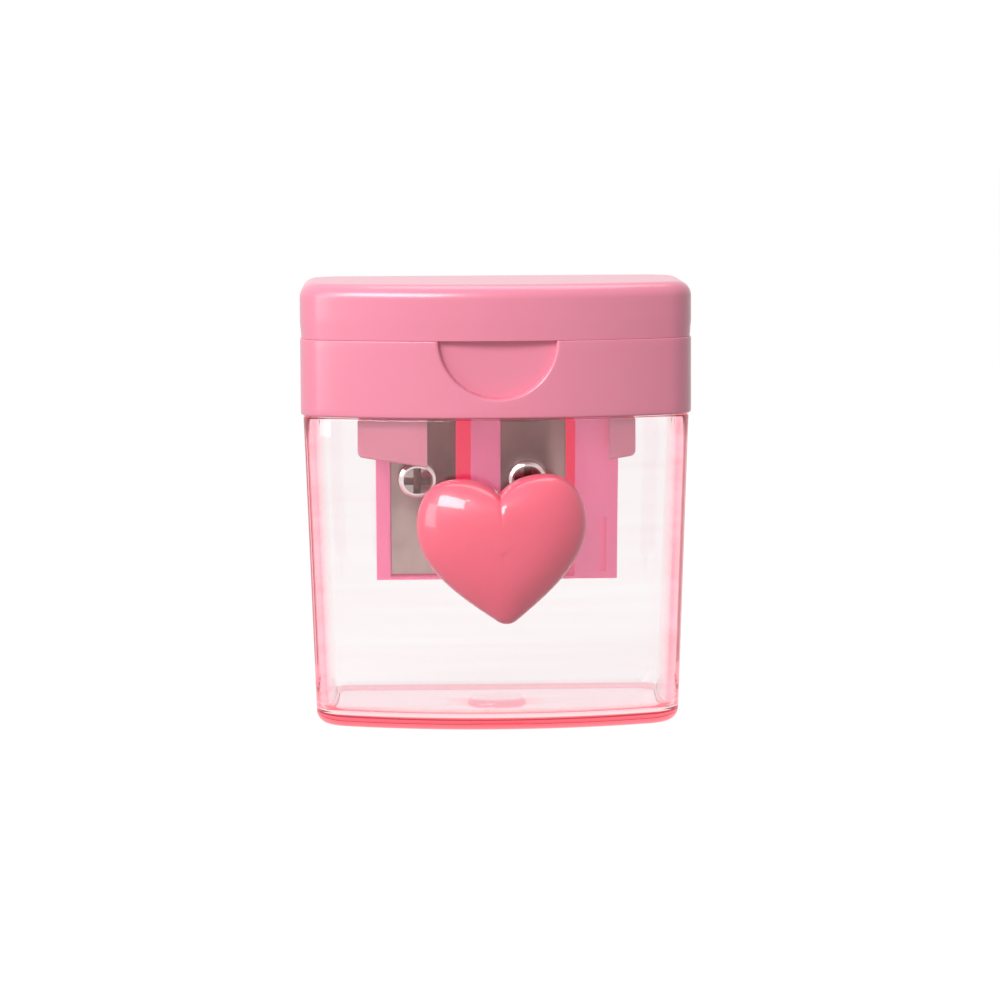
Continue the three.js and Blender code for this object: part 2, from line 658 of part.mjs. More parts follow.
/** A pan-head screw along Y with a cross recess, its head's underside at y = 0. */
function makeScrew() {
  const height = SCREW_HEAD_HEIGHT;
  const tip = SCREW_SHANK_LENGTH - BLADE_GAP;
  const profile = [
    [0, -tip],
    [SCREW_SHANK_RADIUS * 0.5, -tip],
    [SCREW_SHANK_RADIUS, -tip + 1],
    [SCREW_SHANK_RADIUS, 0],
    [SCREW_HEAD_RADIUS, 0],
    [SCREW_HEAD_RADIUS, height * 0.4],
    [SCREW_HEAD_RADIUS * 0.93, height * 0.7],
    [SCREW_HEAD_RADIUS * 0.75, height * 0.92],
    [SCREW_HEAD_RADIUS * 0.5, height],
    [0, height],
  ];
  const arm = RECESS_ARM;
  const half = RECESS_WIDTH / 2;
  const floor = height - RECESS_DEPTH;
  const across = box([-arm, -half, floor], [arm, half, height + 1]);
  const upright = box([-half, -arm, floor], [half, arm, height + 1]);
  return cut(turned(profile, 0, 0, 28), across, upright).rotateX(Math.PI / 2);
}

// ---------------------------------------------------------------- scene graph

const FINISHES = {
  clearPlastic: { color: 0xf6dfe3, roughness: 0.05, metalness: 0 },
  pinkPlastic: { color: 0xe89ab0, roughness: 0.25, metalness: 0 },
  coralPlastic: { color: 0xf46a80, roughness: 0.12, metalness: 0 },
  foam: { color: 0xf4f0ee, roughness: 0.9, metalness: 0 },
  steel: { color: 0xa8a29c, roughness: 0.3, metalness: 1 },
  chrome: { color: 0xd8d8d8, roughness: 0.12, metalness: 1 },
};

function piece(name, geometry, finish) {
  const mesh = new THREE.Mesh(geometry, new THREE.MeshStandardMaterial(FINISHES[finish]));
  mesh.name = name;
  return mesh;
}

/** The frame of one blade: x = 0 at its edge, y = 0 on its seat, z along it. */
function seatGroup(x) {
  const group = new THREE.Group();
  group.position.set(x, SEAT_BOTTOM_Y, SEAT_BOTTOM_Z);
  group.rotation.x = TILT;
  return group;
}

const sharpener = new THREE.Group();

const tub = new THREE.Group();
tub.add(piece("container", makeContainer(), "clearPlastic"));
const heart = piece("heart_ornament", makeHeart(), "coralPlastic");
heart.position.set(HEART_CENTRE_X, HEART_BACK_Y - CLEARANCE, HEART_CENTRE_Z);
heart.rotation.set(UP_FROM_SHAPE, 0, HEART_ROLL);
tub.add(heart);
tub.add(piece("heart_adhesive_pad", makePad(), "foam"));
sharpener.add(tub);

const head = new THREE.Group();
head.add(piece("collar", makeCollar(), "pinkPlastic"));
head.add(piece("sharpening_block", makeBlock(), "pinkPlastic"));
for (const { size, edgeX } of HOLES) {
  const seat = seatGroup(edgeX);
  const blade = piece(`blade_${size}`, makeBlade(), "steel");
  blade.position.z = BLADE_GAP;
  seat.add(blade);
  const screw = piece(`blade_screw_${size}`, makeScrew(), "chrome");
  const headY = -2 * BLADE_GAP - BLADE_THICKNESS;
  screw.position.set(-BLADE_HOLE_FROM_EDGE, headY, BLADE_GAP + BLADE_LENGTH / 2);
  seat.add(screw);
  head.add(seat);
}
sharpener.add(head);

const cover = new THREE.Group();
cover.add(piece("lid", makeLid(), "pinkPlastic"));
sharpener.add(cover);

export default sharpener;
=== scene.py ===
# %% [markdown]
# # A pencil sharpener with a flip lid
# The object is a small desk sharpener. A clear tub catches the shavings, and a pink head plugs
# into its mouth and carries two blades on a sharpening block. A flip lid covers the two pencil
# holes, and a puffy heart is glued to the front. The mechanical model is loaded first as a fixed
# frame, and each cell then adds one piece or one finish to it.

# %% Load the frame
import json
import math

import bmesh
import bpy
import numpy as np
from mathutils import Matrix, Vector


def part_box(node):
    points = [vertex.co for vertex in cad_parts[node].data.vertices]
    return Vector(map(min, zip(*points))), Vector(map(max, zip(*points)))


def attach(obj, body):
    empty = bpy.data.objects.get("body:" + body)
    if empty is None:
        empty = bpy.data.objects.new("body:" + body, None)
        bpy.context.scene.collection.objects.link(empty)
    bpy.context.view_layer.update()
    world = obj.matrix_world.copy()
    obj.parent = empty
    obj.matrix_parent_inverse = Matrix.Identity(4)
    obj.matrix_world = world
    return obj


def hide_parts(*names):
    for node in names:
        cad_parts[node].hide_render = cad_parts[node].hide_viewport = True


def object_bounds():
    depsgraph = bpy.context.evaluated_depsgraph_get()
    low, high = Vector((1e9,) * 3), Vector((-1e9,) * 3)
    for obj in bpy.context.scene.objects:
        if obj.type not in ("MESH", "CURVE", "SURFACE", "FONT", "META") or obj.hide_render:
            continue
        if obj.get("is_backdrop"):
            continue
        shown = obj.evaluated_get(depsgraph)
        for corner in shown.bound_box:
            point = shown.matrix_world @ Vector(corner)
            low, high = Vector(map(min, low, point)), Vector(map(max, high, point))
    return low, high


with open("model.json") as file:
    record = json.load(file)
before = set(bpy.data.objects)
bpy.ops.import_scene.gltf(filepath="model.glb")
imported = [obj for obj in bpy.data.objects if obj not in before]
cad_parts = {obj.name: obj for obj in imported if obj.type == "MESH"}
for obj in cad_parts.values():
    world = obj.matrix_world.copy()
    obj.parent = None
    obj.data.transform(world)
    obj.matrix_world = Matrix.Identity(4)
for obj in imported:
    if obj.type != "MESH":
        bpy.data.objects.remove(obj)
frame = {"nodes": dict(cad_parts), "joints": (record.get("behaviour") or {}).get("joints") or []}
cad_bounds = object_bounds()
MM = 0.001
print("size in mm:", [round(v / MM, 2) for v in cad_bounds[1] - cad_bounds[0]])

# %% [markdown]
# ## The lines that the whole design hangs on
# Every shell shares one plan: a flat rear, straight sides, round corners and a front that is an
# arc. Reading the heights and widths from the frame keeps each piece where the mechanism needs it.
# Only the radii and wall thicknesses are stated here.

# %% Heights, widths and radii
container_low, container_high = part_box("container")
lid_low, lid_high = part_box("lid")
GAP = 0.3 * MM
SEAM_TRIM = 0.14 * MM
COLLAR_BOTTOM = container_high.z + GAP - SEAM_TRIM
COLLAR_TOP = lid_low.z - GAP + SEAM_TRIM
LID_BOTTOM = lid_low.z - SEAM_TRIM
LID_TOP = lid_high.z
HALF_WIDTH = lid_high.x
FRONT, REAR = lid_low.y, lid_high.y
CORNER = 5 * MM
BOW = 50 * MM
LID_WALL = 1.5 * MM
COLLAR_WALL = 1.6 * MM
COLLAR_DECK = 2.4 * MM
print("collar from", round(COLLAR_BOTTOM / MM, 2), "to", round(COLLAR_TOP / MM, 2), "mm")

# %% [markdown]
# ## The camera
# A long lens a good half metre away looks a little down on the sharpener. That far off, the sides
# hardly converge, as in a product picture. The camera stands slightly left of the middle, so the
# bowed front turns a touch to the right.

# %% Place the camera
AIM = Vector((0.55, 0, 27.05)) * MM
EYE = Vector((-13.5, -500, 76.8)) * MM
VIEW_WIDTH = 124.4 * MM
CAMERA_ROLL = math.radians(-0.3)


def place_camera():
    data = bpy.data.cameras.new("camera")
    data.sensor_width = 36
    data.lens = data.sensor_width * (AIM - EYE).length / VIEW_WIDTH
    data.clip_start, data.clip_end = 0.01, 20
    camera = bpy.data.objects.new("camera", data)
    bpy.context.scene.collection.objects.link(camera)
    camera.rotation_mode = "QUATERNION"
    camera.location = EYE
    roll = Matrix.Rotation(CAMERA_ROLL, 3, "Z").to_quaternion()
    camera.rotation_quaternion = (AIM - EYE).to_track_quat("-Z", "Y") @ roll
    bpy.context.scene.camera = camera
    return camera


camera = place_camera()
print("lens", round(camera.data.lens, 1), "mm")

# %% [markdown]
# ## The studio
# Glossy plastic shows what surrounds it. One softbox high on the left gives the pink shells their
# slow fall-off from left to right and the heart its clean highlight. A tall strip further round to
# the left adds a pale sheen to that side, and a broad dim lamp overhead lifts the tops.

# %% Lamps
MIDDLE = Vector((0, 0, 30)) * MM


def area_lamp(name, around, above, distance, width, height, radiance):
    """A rectangular lamp aimed at the middle, its place given as angles seen from there."""
    around, above = math.radians(around), math.radians(above)
    level = math.cos(above)
    out = Vector((math.sin(around) * level, -math.cos(around) * level, math.sin(above)))
    data = bpy.data.lights.new(name, "AREA")
    data.shape = "RECTANGLE"
    data.size, data.size_y = width, height
    data.energy = radiance * math.pi * width * height
    lamp = bpy.data.objects.new(name, data)
    bpy.context.scene.collection.objects.link(lamp)
    lamp.location = MIDDLE + out * distance
    lamp.rotation_mode = "QUATERNION"
    lamp.rotation_quaternion = (-out).to_track_quat("-Z", "Y")
    return lamp


area_lamp("softbox", -32, 34, 0.5, 0.27, 0.18, 12.6)
area_lamp("side_strip", -62, 2, 0.6, 0.26, 0.5, 3.4)
area_lamp("overhead", 160, 78, 0.7, 0.5, 0.4, 2.6)

# %% [markdown]
# ## White room, white paper
# The room and the paper under the sharpener are plain white where they are seen directly or
# through the clear tub. They throw less light than that, and the paper is dark below its own even
# glow, so the pinks stay rich and no shadow shows. Each ray type therefore gets its own strength.

# %% Room and floor
ROOM = {"seen": 1.02, "mirrored": 0.9, "thrown": 0.37}
PAPER = {"seen": 0.96, "mirrored": 0.8, "thrown": 0.22}
PAPER_GREY = (0.12, 0.12, 0.12, 1)
FLOOR_HALF_WIDTH = 4.0


def strength_by_ray(nodes, links, target, levels):
    """One strength for what is seen, also through the tub, one for reflections, one for the rest."""
    path = nodes.new("ShaderNodeLightPath")
    seen = nodes.new("ShaderNodeMath")
    seen.operation = "MAXIMUM"
    links.new(path.outputs["Is Camera Ray"], seen.inputs[0])
    links.new(path.outputs["Is Transmission Ray"], seen.inputs[1])
    unseen_level = nodes.new("ShaderNodeMapRange")
    unseen_level.inputs["To Min"].default_value = levels["thrown"]
    unseen_level.inputs["To Max"].default_value = levels["mirrored"]
    links.new(path.outputs["Is Glossy Ray"], unseen_level.inputs["Value"])
    level = nodes.new("ShaderNodeMapRange")
    level.inputs["To Max"].default_value = levels["seen"]
    links.new(unseen_level.outputs["Result"], level.inputs["To Min"])
    links.new(seen.outputs[0], level.inputs["Value"])
    links.new(level.outputs["Result"], target)


def make_room():
    world = bpy.data.worlds.new("white_room")
    world.use_nodes = True
    nodes, links = world.node_tree.nodes, world.node_tree.links
    background = nodes["Background"]
    background.inputs["Color"].default_value = (1, 1, 1, 1)
    strength_by_ray(nodes, links, background.inputs["Strength"], ROOM)
    bpy.context.scene.world = world


def make_floor():
    mesh = bpy.data.meshes.new("floor")
    half = FLOOR_HALF_WIDTH
    corners = [(-half, -half, 0), (half, -half, 0), (half, half, 0), (-half, half, 0)]
    mesh.from_pydata(corners, [], [(0, 1, 2, 3)])
    floor = bpy.data.objects.new("floor", mesh)
    bpy.context.scene.collection.objects.link(floor)
    material = bpy.data.materials.new("floor_paper")
    material.use_nodes = True
    paper = material.node_tree.nodes["Principled BSDF"]
    paper.inputs["Base Color"].default_value = PAPER_GREY
    paper.inputs["Roughness"].default_value = 0.9
    paper.inputs["Specular IOR Level"].default_value = 0.0
    paper.inputs["Emission Color"].default_value = (1, 1, 1, 1)
    tree = material.node_tree
    strength_by_ray(tree.nodes, tree.links, paper.inputs["Emission Strength"], PAPER)
    mesh.materials.append(material)
    floor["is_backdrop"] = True


make_room()
make_floor()
scene = bpy.context.scene
scene.view_settings.view_transform = "Standard"
LIGHT_BOUNCES = 32
scene.cycles.max_bounces = LIGHT_BOUNCES
scene.cycles.transmission_bounces = LIGHT_BOUNCES
scene.cycles.glossy_bounces = LIGHT_BOUNCES // 2

# %% [markdown]
# ## Plans and stacks
# The shells are all the same idea: take the plan outline, move it inwards a little, lift it to a
# height, and repeat. A stack of such loops with the same number of points makes a wall, and round
# edges are just a few loops on a quarter circle. Modelling them from cubes with bevels would never
# keep the arc of the front as clean.

# %% Outlines with the same number of points
CORNER_STEPS = 14
BOW_STEPS = 56


def arc(centre_x, centre_y, radius, start, end, steps):
    turn = (end - start) / steps
    return [
        (
            centre_x + radius * math.cos(start + turn * i),
            centre_y + radius * math.sin(start + turn * i),
        )
        for i in range(steps + 1)
    ]


def plan_outline(half_width, front, rear, inset=0.0):
    """Counter-clockwise points of the plan, moved inwards by inset."""
    corner = CORNER - inset
    corner_x = half_width - CORNER
    bow_y = front + BOW
    front_y = bow_y - math.sqrt((BOW - CORNER) ** 2 - corner_x**2)
    rear_y = rear - CORNER
    meet = math.atan2(front_y - bow_y, corner_x)
    quarter, half = math.pi / 2, math.pi
    return [
        *arc(corner_x, front_y, corner, meet, 0, CORNER_STEPS),
        *arc(corner_x, rear_y, corner, 0, quarter, CORNER_STEPS),
        *arc(-corner_x, rear_y, corner, quarter, half, CORNER_STEPS),
        *arc(-corner_x, front_y, corner, half, half - meet, CORNER_STEPS),
        *arc(0, bow_y, BOW - inset, -half - meet, meet, BOW_STEPS)[1:-1],
    ]


def shell_loop(inset, z):
    """A loop on the plan that the lid and the collar share."""
    return [(x, y, z) for x, y in plan_outline(HALF_WIDTH, FRONT, REAR, inset)]


def quarter_round(radius, steps=6):
    """(inset, rise) pairs from the level face's end to the upright face's end."""
    angles = [math.pi / 2 * i / steps for i in range(steps + 1)]
    return [(radius * (1 - math.sin(a)), radius * (1 - math.cos(a))) for a in angles]


print("points in a loop:", len(plan_outline(HALF_WIDTH, FRONT, REAR)))

# %% [markdown]
# ## Tools for making a piece
# A stack of loops becomes a closed mesh by joining each loop to the next and filling the two ends.
# Bars and boxes are stacks too, and serve to join and to cut. Modifiers are applied as soon as
# they are set, so each piece is plain mesh when the next step needs it.

# %% Loops into a closed mesh
def link_mesh(name, mesh):
    piece = bpy.data.objects.new(name, mesh)
    bpy.context.scene.collection.objects.link(piece)
    return piece


def stack(name, loops):
    """A closed mesh through loops with equal counts, its two ends filled flat."""
    count = len(loops[0])
    points = [point for loop in loops for point in loop]
    faces = [
        (
            level * count + i,
            level * count + (i + 1) % count,
            (level + 1) * count + (i + 1) % count,
            (level + 1) * count + i,
        )
        for level in range(len(loops) - 1)
        for i in range(count)
    ]
    faces.append(tuple(reversed(range(count))))
    faces.append(tuple(range(count * (len(loops) - 1), count * len(loops))))
    mesh = bpy.data.meshes.new(name)
    mesh.from_pydata(points, [], faces)
    work = bmesh.new()
    work.from_mesh(mesh)
    bmesh.ops.recalc_face_normals(work, faces=work.faces)
    work.to_mesh(mesh)
    work.free()
    return link_mesh(name, mesh)


def block(name, low, high):
    """A plain box, used only as a cutter or as something to join."""
    (x0, y0, z0), (x1, y1, z1) = low, high
    return stack(name, [[(x0, y0, z), (x1, y0, z), (x1, y1, z), (x0, y1, z)] for z in (z0, z1)])


def bar_x(name, radius, x0, x1, y, z, steps=64):
    """A round bar along X."""
    turns = [2 * math.pi * i / steps for i in range(steps)]
    ring = [(y + radius * math.cos(a), z + radius * math.sin(a)) for a in turns]
    return stack(name, [[(x, py, pz) for py, pz in ring] for x in (x0, x1)])


def apply_modifiers(piece):
    """Freezes a piece's modifiers into its mesh."""
    evaluated = piece.evaluated_get(bpy.context.evaluated_depsgraph_get())
    mesh = bpy.data.meshes.new_from_object(evaluated)
    piece.modifiers.clear()
    old, piece.data = piece.data, mesh
    bpy.data.meshes.remove(old)
    mesh.name = piece.name
    return piece


def combine(piece, operation, tools):
    """Joins (UNION) or cuts (DIFFERENCE) the tools one after the other, and removes them."""
    for tool in tools:
        modifier = piece.modifiers.new(operation.lower(), "BOOLEAN")
        modifier.operation = operation
        modifier.solver = "EXACT"
        modifier.object = tool
        apply_modifiers(piece)
        bpy.data.objects.remove(tool)
    return piece


def smooth(piece, angle=32):
    """Smooth shading that keeps every edge sharper than the angle crisp."""
    mesh = piece.data
    mesh.shade_smooth()
    mesh.set_sharp_from_angle(angle=math.radians(angle))
    print(piece.name, len(mesh.polygons), "faces")
    return piece


def soften_edges(piece, width, segments=2, angle=38):
    """A small bevel on every sharp edge, so that it catches the light as a moulded edge does."""
    modifier = piece.modifiers.new("soft_edges", "BEVEL")
    modifier.width = width
    modifier.segments = segments
    modifier.limit_method = "ANGLE"
    modifier.angle_limit = math.radians(angle)
    modifier.use_clamp_overlap = True
    modifier.harden_normals = False
    return apply_modifiers(piece)


# %% [markdown]
# ## The clear container
# The tub is moulded in a clear plastic with only a breath of pink. Its colour shows where the eye
# looks along a wall instead of through it: at the two sides, round the rim and in the thick floor.
# So it is one closed shell with a real wall, and each point stores the tint that gathers there.
# The floor carries a low round dome over the place where the plastic entered the mould.

# %% Container sizes
FLOOR = 1.6 * MM
WALL = 1.4 * MM
OUTER_FOOT = 1.6 * MM
INNER_FOOT = 1.2 * MM
RIM_EDGE = 0.25 * MM
FOOT_HALF_WIDTH = container_high.x - 1.35 * MM
FRONT_TAPER = 0.8 * MM
REAR_TAPER = 0.5 * MM
DOME_RADIUS = 3.7 * MM
DOME_HEIGHT = 1.4 * MM
DOME_STEPS = 13


def container_loop(inset, z):
    """A loop on the container's plan, which narrows towards the table."""
    rise = z / container_high.z
    half_width = FOOT_HALF_WIDTH + (container_high.x - FOOT_HALF_WIDTH) * rise
    front = container_low.y + FRONT_TAPER * (1 - rise)
    rear = container_high.y - REAR_TAPER * (1 - rise)
    return [(x, y, z) for x, y in plan_outline(half_width, front, rear, inset)]


def smooth_step(low, high, value):
    share = min(max((value - low) / (high - low), 0.0), 1.0)
    return share * share * (3 - 2 * share)


def toward_circle(loop, share, radius, z):
    """The loop drawn in towards a circle about the middle, 0 for the loop and 1 for the circle."""
    drawn = []
    for x, y, _ in loop:
        away = math.hypot(x, y)
        cx, cy = x / away * radius, y / away * radius
        drawn.append((x + (cx - x) * share, y + (cy - y) * share, z))
    return drawn


# %% [markdown]
# ## Tint stored in the plastic
# A tinted clear moulding looks deepest where its wall is seen along its length: at the front
# corners, round the foot and on the dome's rim. A colour attribute on the points holds that, since
# a wall this thin would need far stronger absorption to show it, and the front would then go pink.

# %% Where the plastic's colour gathers
TINT_CLEAR = (0.957, 0.952, 0.952)
TINT_SIDE = (0.99, 0.26, 0.36)
TINT_FOOT = (0.97, 0.06, 0.09)
TINT_FLOOR = (0.90, 0.68, 0.73)
TINT_RING = (0.72, 0.30, 0.38)
TINT_REAR_FOOT = (0.90, 0.60, 0.67)
TINT_FADE = 0.12 * MM
SIDE_BAND = (0.79, 0.92)
DOME_RIM_BAND = (0.82, 0.97)
DOME_REACH = 1.01


def mixed(first, second, share):
    return tuple(a + (b - a) * share for a, b in zip(first, second))


def tint_at(x, y, z, outside):
    """The colour at a point: red round the foot, pink on the front corners, else clear."""
    if outside:
        half_width = FOOT_HALF_WIDTH + (container_high.x - FOOT_HALF_WIDTH) * z / container_high.z
        sideways = (abs(x) - half_width + CORNER) / CORNER
        ahead = smooth_step(0, 6 * MM, -y)
        side = mixed(TINT_CLEAR, TINT_SIDE, smooth_step(*SIDE_BAND, sideways) * ahead)
        foot = mixed(TINT_REAR_FOOT, TINT_FOOT, ahead)
        return mixed(foot, side, smooth_step(OUTER_FOOT, OUTER_FOOT + TINT_FADE, z))
    from_middle = math.hypot(x, y) / DOME_RADIUS
    if from_middle < DOME_REACH:
        return mixed(TINT_FLOOR, TINT_RING, smooth_step(*DOME_RIM_BAND, from_middle))
    return mixed(TINT_FLOOR, TINT_CLEAR, smooth_step(FLOOR, FLOOR + INNER_FOOT, z))


def store_tint(mesh, outer_count):
    """Writes the colour of every point; the first outer_count points are the outer surface."""
    tint = mesh.color_attributes.new("tint", "FLOAT_COLOR", "POINT")
    for i, vertex in enumerate(mesh.vertices):
        tint.data[i].color = (*tint_at(*vertex.co, i < outer_count), 1)


# %% [markdown]
# ## From outer foot to inner floor
# The loops run up the outer wall, over the rim, down the inner wall and in to the dome. Going round
# in one piece keeps the wall closed, so light bends on the way in and again on the way out.

# %% Build the container
def make_container():
    top = container_high.z
    loops = [toward_circle(container_loop(OUTER_FOOT, 0), 1, 2 * MM, 0)]
    loops += [container_loop(inset, rise) for inset, rise in quarter_round(OUTER_FOOT, 10)]
    wall_levels = np.linspace(OUTER_FOOT + TINT_FADE, top - RIM_EDGE, 13)[:-1]
    loops += [container_loop(0, z) for z in wall_levels]
    loops += [container_loop(inset, top - rise) for inset, rise in reversed(quarter_round(RIM_EDGE, 4))]
    outer_count = len(loops) * len(loops[0])
    loops += [container_loop(WALL - inset, top - rise) for inset, rise in quarter_round(RIM_EDGE, 4)]
    inner_levels = np.linspace(top - RIM_EDGE, FLOOR + INNER_FOOT, 9)[1:-1]
    loops += [container_loop(WALL, z) for z in inner_levels]
    foot = [(WALL + inset, FLOOR + rise) for inset, rise in reversed(quarter_round(INNER_FOOT, 8))]
    loops += [container_loop(inset, z) for inset, z in foot]
    floor_loop = container_loop(WALL + INNER_FOOT, FLOOR)
    loops += [toward_circle(floor_loop, share, DOME_RADIUS, FLOOR) for share in (0.4, 0.8, 1.0)]
    for step in range(1, DOME_STEPS):
        turn = math.pi / 2 * step / DOME_STEPS
        height = FLOOR + DOME_HEIGHT * math.sin(turn)
        loops.append(toward_circle(floor_loop, 1, DOME_RADIUS * math.cos(turn), height))
    shell = stack("container_shell", loops)
    store_tint(shell.data, outer_count)
    return smooth(shell, 50)


container = make_container()

# %% [markdown]
# ## Words for finishes
# Every finish starts from a principled shader and a noise fixed to the piece. The noise is spread
# over a range of roughness, blended into two close colours or turned into a shallow ripple. The
# helpers below do this, so that each finish can be read in a few lines.

# %% Helpers for the finishes
NOISE_LOW, NOISE_HIGH = 0.3, 0.7


def new_finish(name):
    """A material with an empty principled shader, and short names for what it holds."""
    material = bpy.data.materials.new(name)
    material.use_nodes = True
    tree = material.node_tree
    return material, tree.nodes, tree.links, tree.nodes["Principled BSDF"]


def surface_noise(nodes, links, scale, detail=3.0, stretch=(1, 1, 1)):
    """Noise that is fixed to the piece, in cycles per metre, stretched along an axis if asked."""
    place = nodes.new("ShaderNodeTexCoord")
    fit = nodes.new("ShaderNodeMapping")
    fit.inputs["Scale"].default_value = stretch
    noise = nodes.new("ShaderNodeTexNoise")
    noise.inputs["Scale"].default_value = scale
    noise.inputs["Detail"].default_value = detail
    links.new(place.outputs["Object"], fit.inputs["Vector"])
    links.new(fit.outputs["Vector"], noise.inputs["Vector"])
    return noise.outputs["Fac"]


def spread(nodes, links, value, low, high):
    """A noise value spread from low to high."""
    node = nodes.new("ShaderNodeMapRange")
    node.interpolation_type = "SMOOTHSTEP"
    node.inputs["From Min"].default_value = NOISE_LOW
    node.inputs["From Max"].default_value = NOISE_HIGH
    node.inputs["To Min"].default_value = low
    node.inputs["To Max"].default_value = high
    links.new(value, node.inputs["Value"])
    return node.outputs["Result"]


def ripple(nodes, links, value, shader, depth, strength=1.0):
    """A bump of the given depth in metres."""
    bump = nodes.new("ShaderNodeBump")
    bump.inputs["Distance"].default_value = depth
    bump.inputs["Strength"].default_value = strength
    links.new(value, bump.inputs["Height"])
    links.new(bump.outputs["Normal"], shader.inputs["Normal"])


def blend_colours(nodes, links, value, first, second):
    """A colour that moves from the first to the second as the noise value rises."""
    ramp = nodes.new("ShaderNodeValToRGB")
    ramp.color_ramp.interpolation = "EASE"
    ramp.color_ramp.elements[0].position = NOISE_LOW
    ramp.color_ramp.elements[0].color = (*first, 1)
    ramp.color_ramp.elements[1].position = NOISE_HIGH
    ramp.color_ramp.elements[1].color = (*second, 1)
    links.new(value, ramp.inputs["Fac"])
    return ramp.outputs["Color"]


print("noise counts from", NOISE_LOW, "to", NOISE_HIGH)

# %% [markdown]
# ## Clear tinted plastic
# A clear plastic needs three things: light that passes and bends, a surface so smooth that only a
# trace of waviness is left from the mould, and a colour that builds up with the distance travelled
# inside. Absorption in the volume gives that build-up, and the stored tint adds to it where light
# has run along a wall. Those edges also glow faintly, since they send out light gathered elsewhere.

# %% Make the clear plastic
CLEAR_IOR = 1.5
TINT_PASSED = (0.95, 0.40, 0.48, 1)
TINT_DENSITY = 22.0
TINT_GLOW = (0.90, 0.10, 0.15)
TINT_GLOW_STRENGTH = 0.22
TINT_GLOW_RANGE = (0.25, 0.8)
STREAK = (0.9, 0.5, 0.5)
WHITE = (1, 1, 1)


def tint_and_depth(nodes, links):
    """The stored tint, and how deep it is: 0 where it is white, 1 where no green is left."""
    tint = nodes.new("ShaderNodeAttribute")
    tint.attribute_name = "tint"
    parts = nodes.new("ShaderNodeSeparateColor")
    links.new(tint.outputs["Color"], parts.inputs["Color"])
    depth = nodes.new("ShaderNodeMath")
    depth.operation = "SUBTRACT"
    depth.inputs[0].default_value = 1.0
    links.new(parts.outputs["Green"], depth.inputs[1])
    return tint.outputs["Color"], depth.outputs[0]


def streaked_tint(nodes, links, tint, depth):
    """The tint with level flow streaks, which show only where the tint is deep."""
    streaks = surface_noise(nodes, links, 60, detail=3, stretch=(0.3, 0.3, 12))
    lines = nodes.new("ShaderNodeMix")
    lines.data_type = "RGBA"
    lines.blend_type = "MULTIPLY"
    links.new(depth, lines.inputs["Factor"])
    links.new(tint, lines.inputs["A"])
    links.new(blend_colours(nodes, links, streaks, STREAK, WHITE), lines.inputs["B"])
    return lines.outputs["Result"]


def gathered_glow(nodes, links, depth):
    """The strength of the light that the deeply tinted edges send out."""
    glow = nodes.new("ShaderNodeMapRange")
    glow.inputs["From Min"].default_value, glow.inputs["From Max"].default_value = TINT_GLOW_RANGE
    glow.inputs["To Max"].default_value = TINT_GLOW_STRENGTH
    links.new(depth, glow.inputs["Value"])
    return glow.outputs["Result"]


def clear_plastic():
    material, nodes, links, shader = new_finish("clear_tinted_plastic")
    flow = surface_noise(nodes, links, 90, detail=2, stretch=(1, 1, 0.4))
    tint, depth = tint_and_depth(nodes, links)
    links.new(streaked_tint(nodes, links, tint, depth), shader.inputs["Base Color"])
    links.new(gathered_glow(nodes, links, depth), shader.inputs["Emission Strength"])
    shader.inputs["Emission Color"].default_value = (*TINT_GLOW, 1)
    shader.inputs["Transmission Weight"].default_value = 1.0
    shader.inputs["IOR"].default_value = CLEAR_IOR
    links.new(spread(nodes, links, flow, 0.0, 0.02), shader.inputs["Roughness"])
    ripple(nodes, links, flow, shader, 0.01 * MM)
    inside = nodes.new("ShaderNodeVolumeAbsorption")
    inside.inputs["Color"].default_value = TINT_PASSED
    inside.inputs["Density"].default_value = TINT_DENSITY
    links.new(inside.outputs["Volume"], nodes["Material Output"].inputs["Volume"])
    return material


# %% Dress the container
def dress(piece, material, body, slot, *nodes):
    """Gives a piece its finish and tells the frame where it belongs."""
    piece.data.materials.clear()
    piece.data.materials.append(material)
    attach(piece, body)
    if nodes:
        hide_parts(*nodes)
    print(piece.name, "wears", material.name)
    return piece


dress(container, clear_plastic(), "container", "clear_tinted_plastic", "container")

# %% [markdown]
# ## The collar
# The collar is the head's outer moulding: a hollow band under a flat deck. It needs an opening for
# the sharpening block, two lugs for the hinge at the rear, two tongues that plug inside the tub's
# front wall, and a half-round notch where a fingertip gets under the lid. The band is a stack of
# loops. The rest is joined on and cut out with booleans, as a toolmaker would add and cut steel.

# %% The band and its hollow
COLLAR_EDGE = 0.3 * MM
COLLAR_SHOULDER = 0.16 * MM


def make_band():
    underside = COLLAR_TOP - COLLAR_DECK
    ceiling = [
        shell_loop(COLLAR_WALL + inset, underside - rise)
        for inset, rise in quarter_round(0.5 * MM, 3)
    ]
    inner = [shell_loop(COLLAR_WALL, z) for z in (underside - 2 * MM, COLLAR_BOTTOM + COLLAR_EDGE)]
    lip_in = [
        shell_loop(COLLAR_WALL - inset, COLLAR_BOTTOM + rise)
        for inset, rise in reversed(quarter_round(COLLAR_EDGE, 3))
    ]
    lip_out = [shell_loop(inset, COLLAR_BOTTOM + rise) for inset, rise in quarter_round(COLLAR_EDGE, 4)]
    outer = [shell_loop(0, z) for z in np.linspace(COLLAR_BOTTOM + 1 * MM, COLLAR_TOP - 1 * MM, 5)]
    shoulder = [
        shell_loop(inset, COLLAR_TOP - rise)
        for inset, rise in reversed(quarter_round(COLLAR_SHOULDER, 5))
    ]
    return stack("collar_shell", [*ceiling, *inner, *lip_in, *lip_out, *outer, *shoulder])


# %% [markdown]
# ## A place for the fingertip
# The notch is a half disc sunk into the bowed front, with its own wall behind it. Its cutter opens
# out over the last fraction of a millimetre, because a moulded edge is round and shows as a thin
# bright line. A bevel afterwards would also have rounded the edges that should stay sharp.

